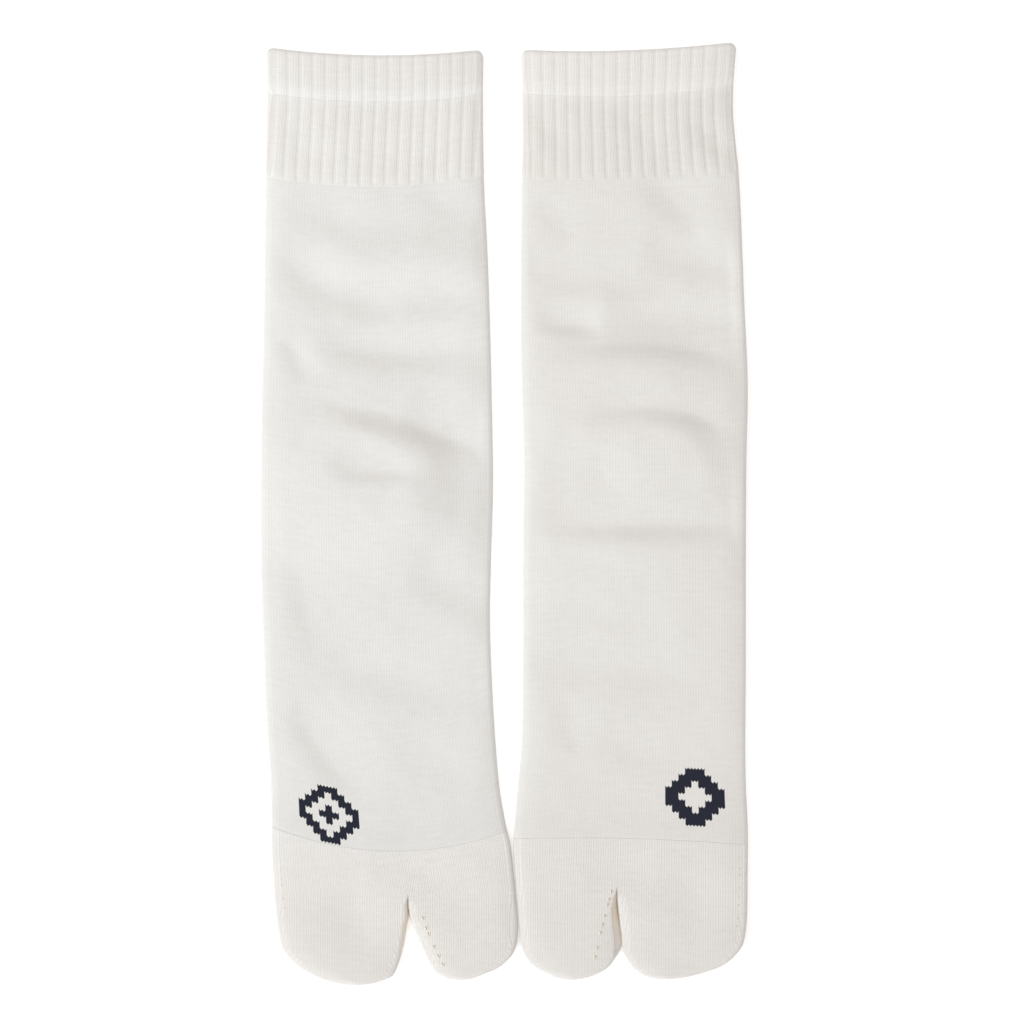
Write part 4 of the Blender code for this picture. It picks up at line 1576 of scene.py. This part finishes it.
def make_gore_stitches(sock):
    """All the eyelets and bars of one sock's toe, joined."""
    cloth = bmesh.new()
    cloth.from_mesh(PIECES[sock.name, "toe"].data)
    surface = BVHTree.FromBMesh(cloth)
    cloth.free()
    mesh = new_cloth()
    for gore in GORES[sock.name]:
        strand = [value * gore.size for value in STRAND]
        eyelet = [value * gore.size for value in EYELET]
        for number in range(gore.count):
            share = (number + WOBBLE * sin(WOBBLE_STEP * number)) / (gore.count - 1.0)
            share = min(max(share, 0.0), 1.0)
            x, y = on_bend(gore, share)
            ahead = on_bend(gore, share + LOOK_AHEAD)
            turn = atan2(ahead[1] - y, ahead[0] - x)
            put_on_cloth(mesh, surface, x, y, turn, eyelet, SHADED)
            for side in (-1.0, 1.0):
                offset = side * STRAND_OFFSET * gore.size
                strand_x = x - sin(turn) * offset
                strand_y = y + cos(turn) * offset
                leaned = turn - side * STRAND_LEAN
                put_on_cloth(mesh, surface, strand_x, strand_y, leaned, strand, YARN)
    bar = BARS[sock.name]
    turn = atan2(bar.right[1] - bar.left[1], bar.right[0] - bar.left[0]) + BAR_LEAN
    for number in range(bar.count):
        share = number / (bar.count - 1.0)
        x = mix(bar.left[0], bar.right[0], share)
        y = mix(bar.left[1], bar.right[1], share) + 4.0 * bar.bow * share * (1.0 - share)
        put_on_cloth(mesh, surface, x, y, turn, STRAND, YARN)
    finish = Finish(f"{sock.name}_gore_yarn")
    share, _ = finish.stitch_numbers()
    white = tinted(WHITES[sock.name].toe, STRAND_SHADE)
    # Eyelets take the painted shade and strands the toe's white.
    finish.put("Base Color", finish.colour_mix(share, EYELET_SHADE, white))
    return finish_cloth(mesh, f"{sock.name}_gore_stitches", finish.material)


GORE_STITCHES = [make_gore_stitches(sock) for sock in SOCKS]

# %% [markdown]
# ## Riding, replacing and flat sizes
#
# Every piece rides on the one body and stands for the solid in its place, which is
# hidden. A table lists each part's slot and the size each sheet was knitted to: for a
# tube, all the way round by its length. Neither is put on the pieces here.

Knitted = namedtuple("Knitted", "slot right left")
KNITTED = {
    "welt": Knitted("rib_knit", right=(0.187, 0.020), left=(0.183, 0.020)),
    "rib": Knitted("rib_knit", right=(0.188, 0.037), left=(0.187, 0.037)),
    "leg": Knitted("plain_knit", right=(0.197, 0.279), left=(0.194, 0.280)),
    "heel": Knitted("plain_knit", right=(0.067, 0.066), left=(0.058, 0.105)),
    "toe": Knitted("pile_knit", right=(0.211, 0.061), left=(0.205, 0.059)),
}
for (side, part), piece in PIECES.items():
    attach(piece, "root")
    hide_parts(f"{side}_{part}")
    flat = getattr(KNITTED[part], side)
for piece in GORE_STITCHES:
    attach(piece, "root")

# %% [markdown]
# ## Floor, light and camera
#
# A white table, even light from all round, and one large lamp low on the left in
# front, so that slopes that face away from it go slightly grey. A weak fill above
# the cuffs keeps that end as light as the toes.

# %% Floor
FLOOR_SIZE = 6.0
FLOOR_Z = -0.0002
FLOOR_WHITE = (0.93, 0.93, 0.93, 1.0)
FLOOR_GLOW = 0.38
FLOOR_ROUGHNESS = 0.9
floor_mesh = bmesh.new()
bmesh.ops.create_grid(floor_mesh, x_segments=1, y_segments=1, size=FLOOR_SIZE / 2.0)
floor_data = bpy.data.meshes.new("floor")
floor_mesh.to_mesh(floor_data)
floor_mesh.free()
for vertex in floor_data.vertices:
    vertex.co.z = FLOOR_Z
floor = new_object("floor", floor_data)
floor_finish = Finish("white_table", FLOOR_ROUGHNESS, sheen=0.0)
floor_finish.put("Base Color", FLOOR_WHITE)
floor_finish.put("Emission Color", (1.0, 1.0, 1.0, 1.0))
floor_finish.put("Emission Strength", FLOOR_GLOW)
floor_data.materials.append(floor_finish.material)

# %% Light
Lamp = namedtuple("Lamp", "name place size power colour")
LAMPS = (
    Lamp("window", Vector((-4.60, -3.90, 2.70)), 2.30, 246.0, (0.960, 1.040, 1.060)),
    Lamp("fill", Vector((-0.35, 0.45, 1.10)), 0.50, 2.9, (1.0, 0.99, 0.98)),
)
SKY_COLOUR = (1.008, 0.968, 0.950, 1.0)
SKY_STRENGTH = 0.611
for row in LAMPS:
    data = bpy.data.lights.new(row.name, "AREA")
    data.shape = "SQUARE"
    data.size = row.size
    data.energy = row.power
    data.color = row.colour
    lamp = new_object(row.name, data)
    facing = row.place.to_track_quat("Z", "Y").to_matrix().to_4x4()
    lamp.matrix_world = Matrix.Translation(row.place) @ facing
    lamp.visible_camera = False
world = bpy.data.worlds.new("even_light")
world.use_nodes = True
background = world.node_tree.nodes["Background"]
background.inputs["Color"].default_value = SKY_COLOUR
background.inputs["Strength"].default_value = SKY_STRENGTH
bpy.context.scene.world = world
bpy.context.scene.view_settings.view_transform = "Standard"

# %% Camera
VIEW_WIDTH = 0.430
VIEW_CENTRE = Vector((0.0029, 0.0010, 0.005))
CAMERA_HEIGHT = 1.6
SENSOR_WIDTH = 36.0
FAR_CLIP = 20.0
camera_data = bpy.data.cameras.new("camera")
camera_data.sensor_width = SENSOR_WIDTH
camera_data.lens = SENSOR_WIDTH * CAMERA_HEIGHT / VIEW_WIDTH
camera_data.clip_end = FAR_CLIP
camera = new_object("camera", camera_data)
camera.location = VIEW_CENTRE + Vector((0.0, 0.0, CAMERA_HEIGHT))
bpy.context.scene.camera = camera
print("lens", round(camera_data.lens, 1), "mm")
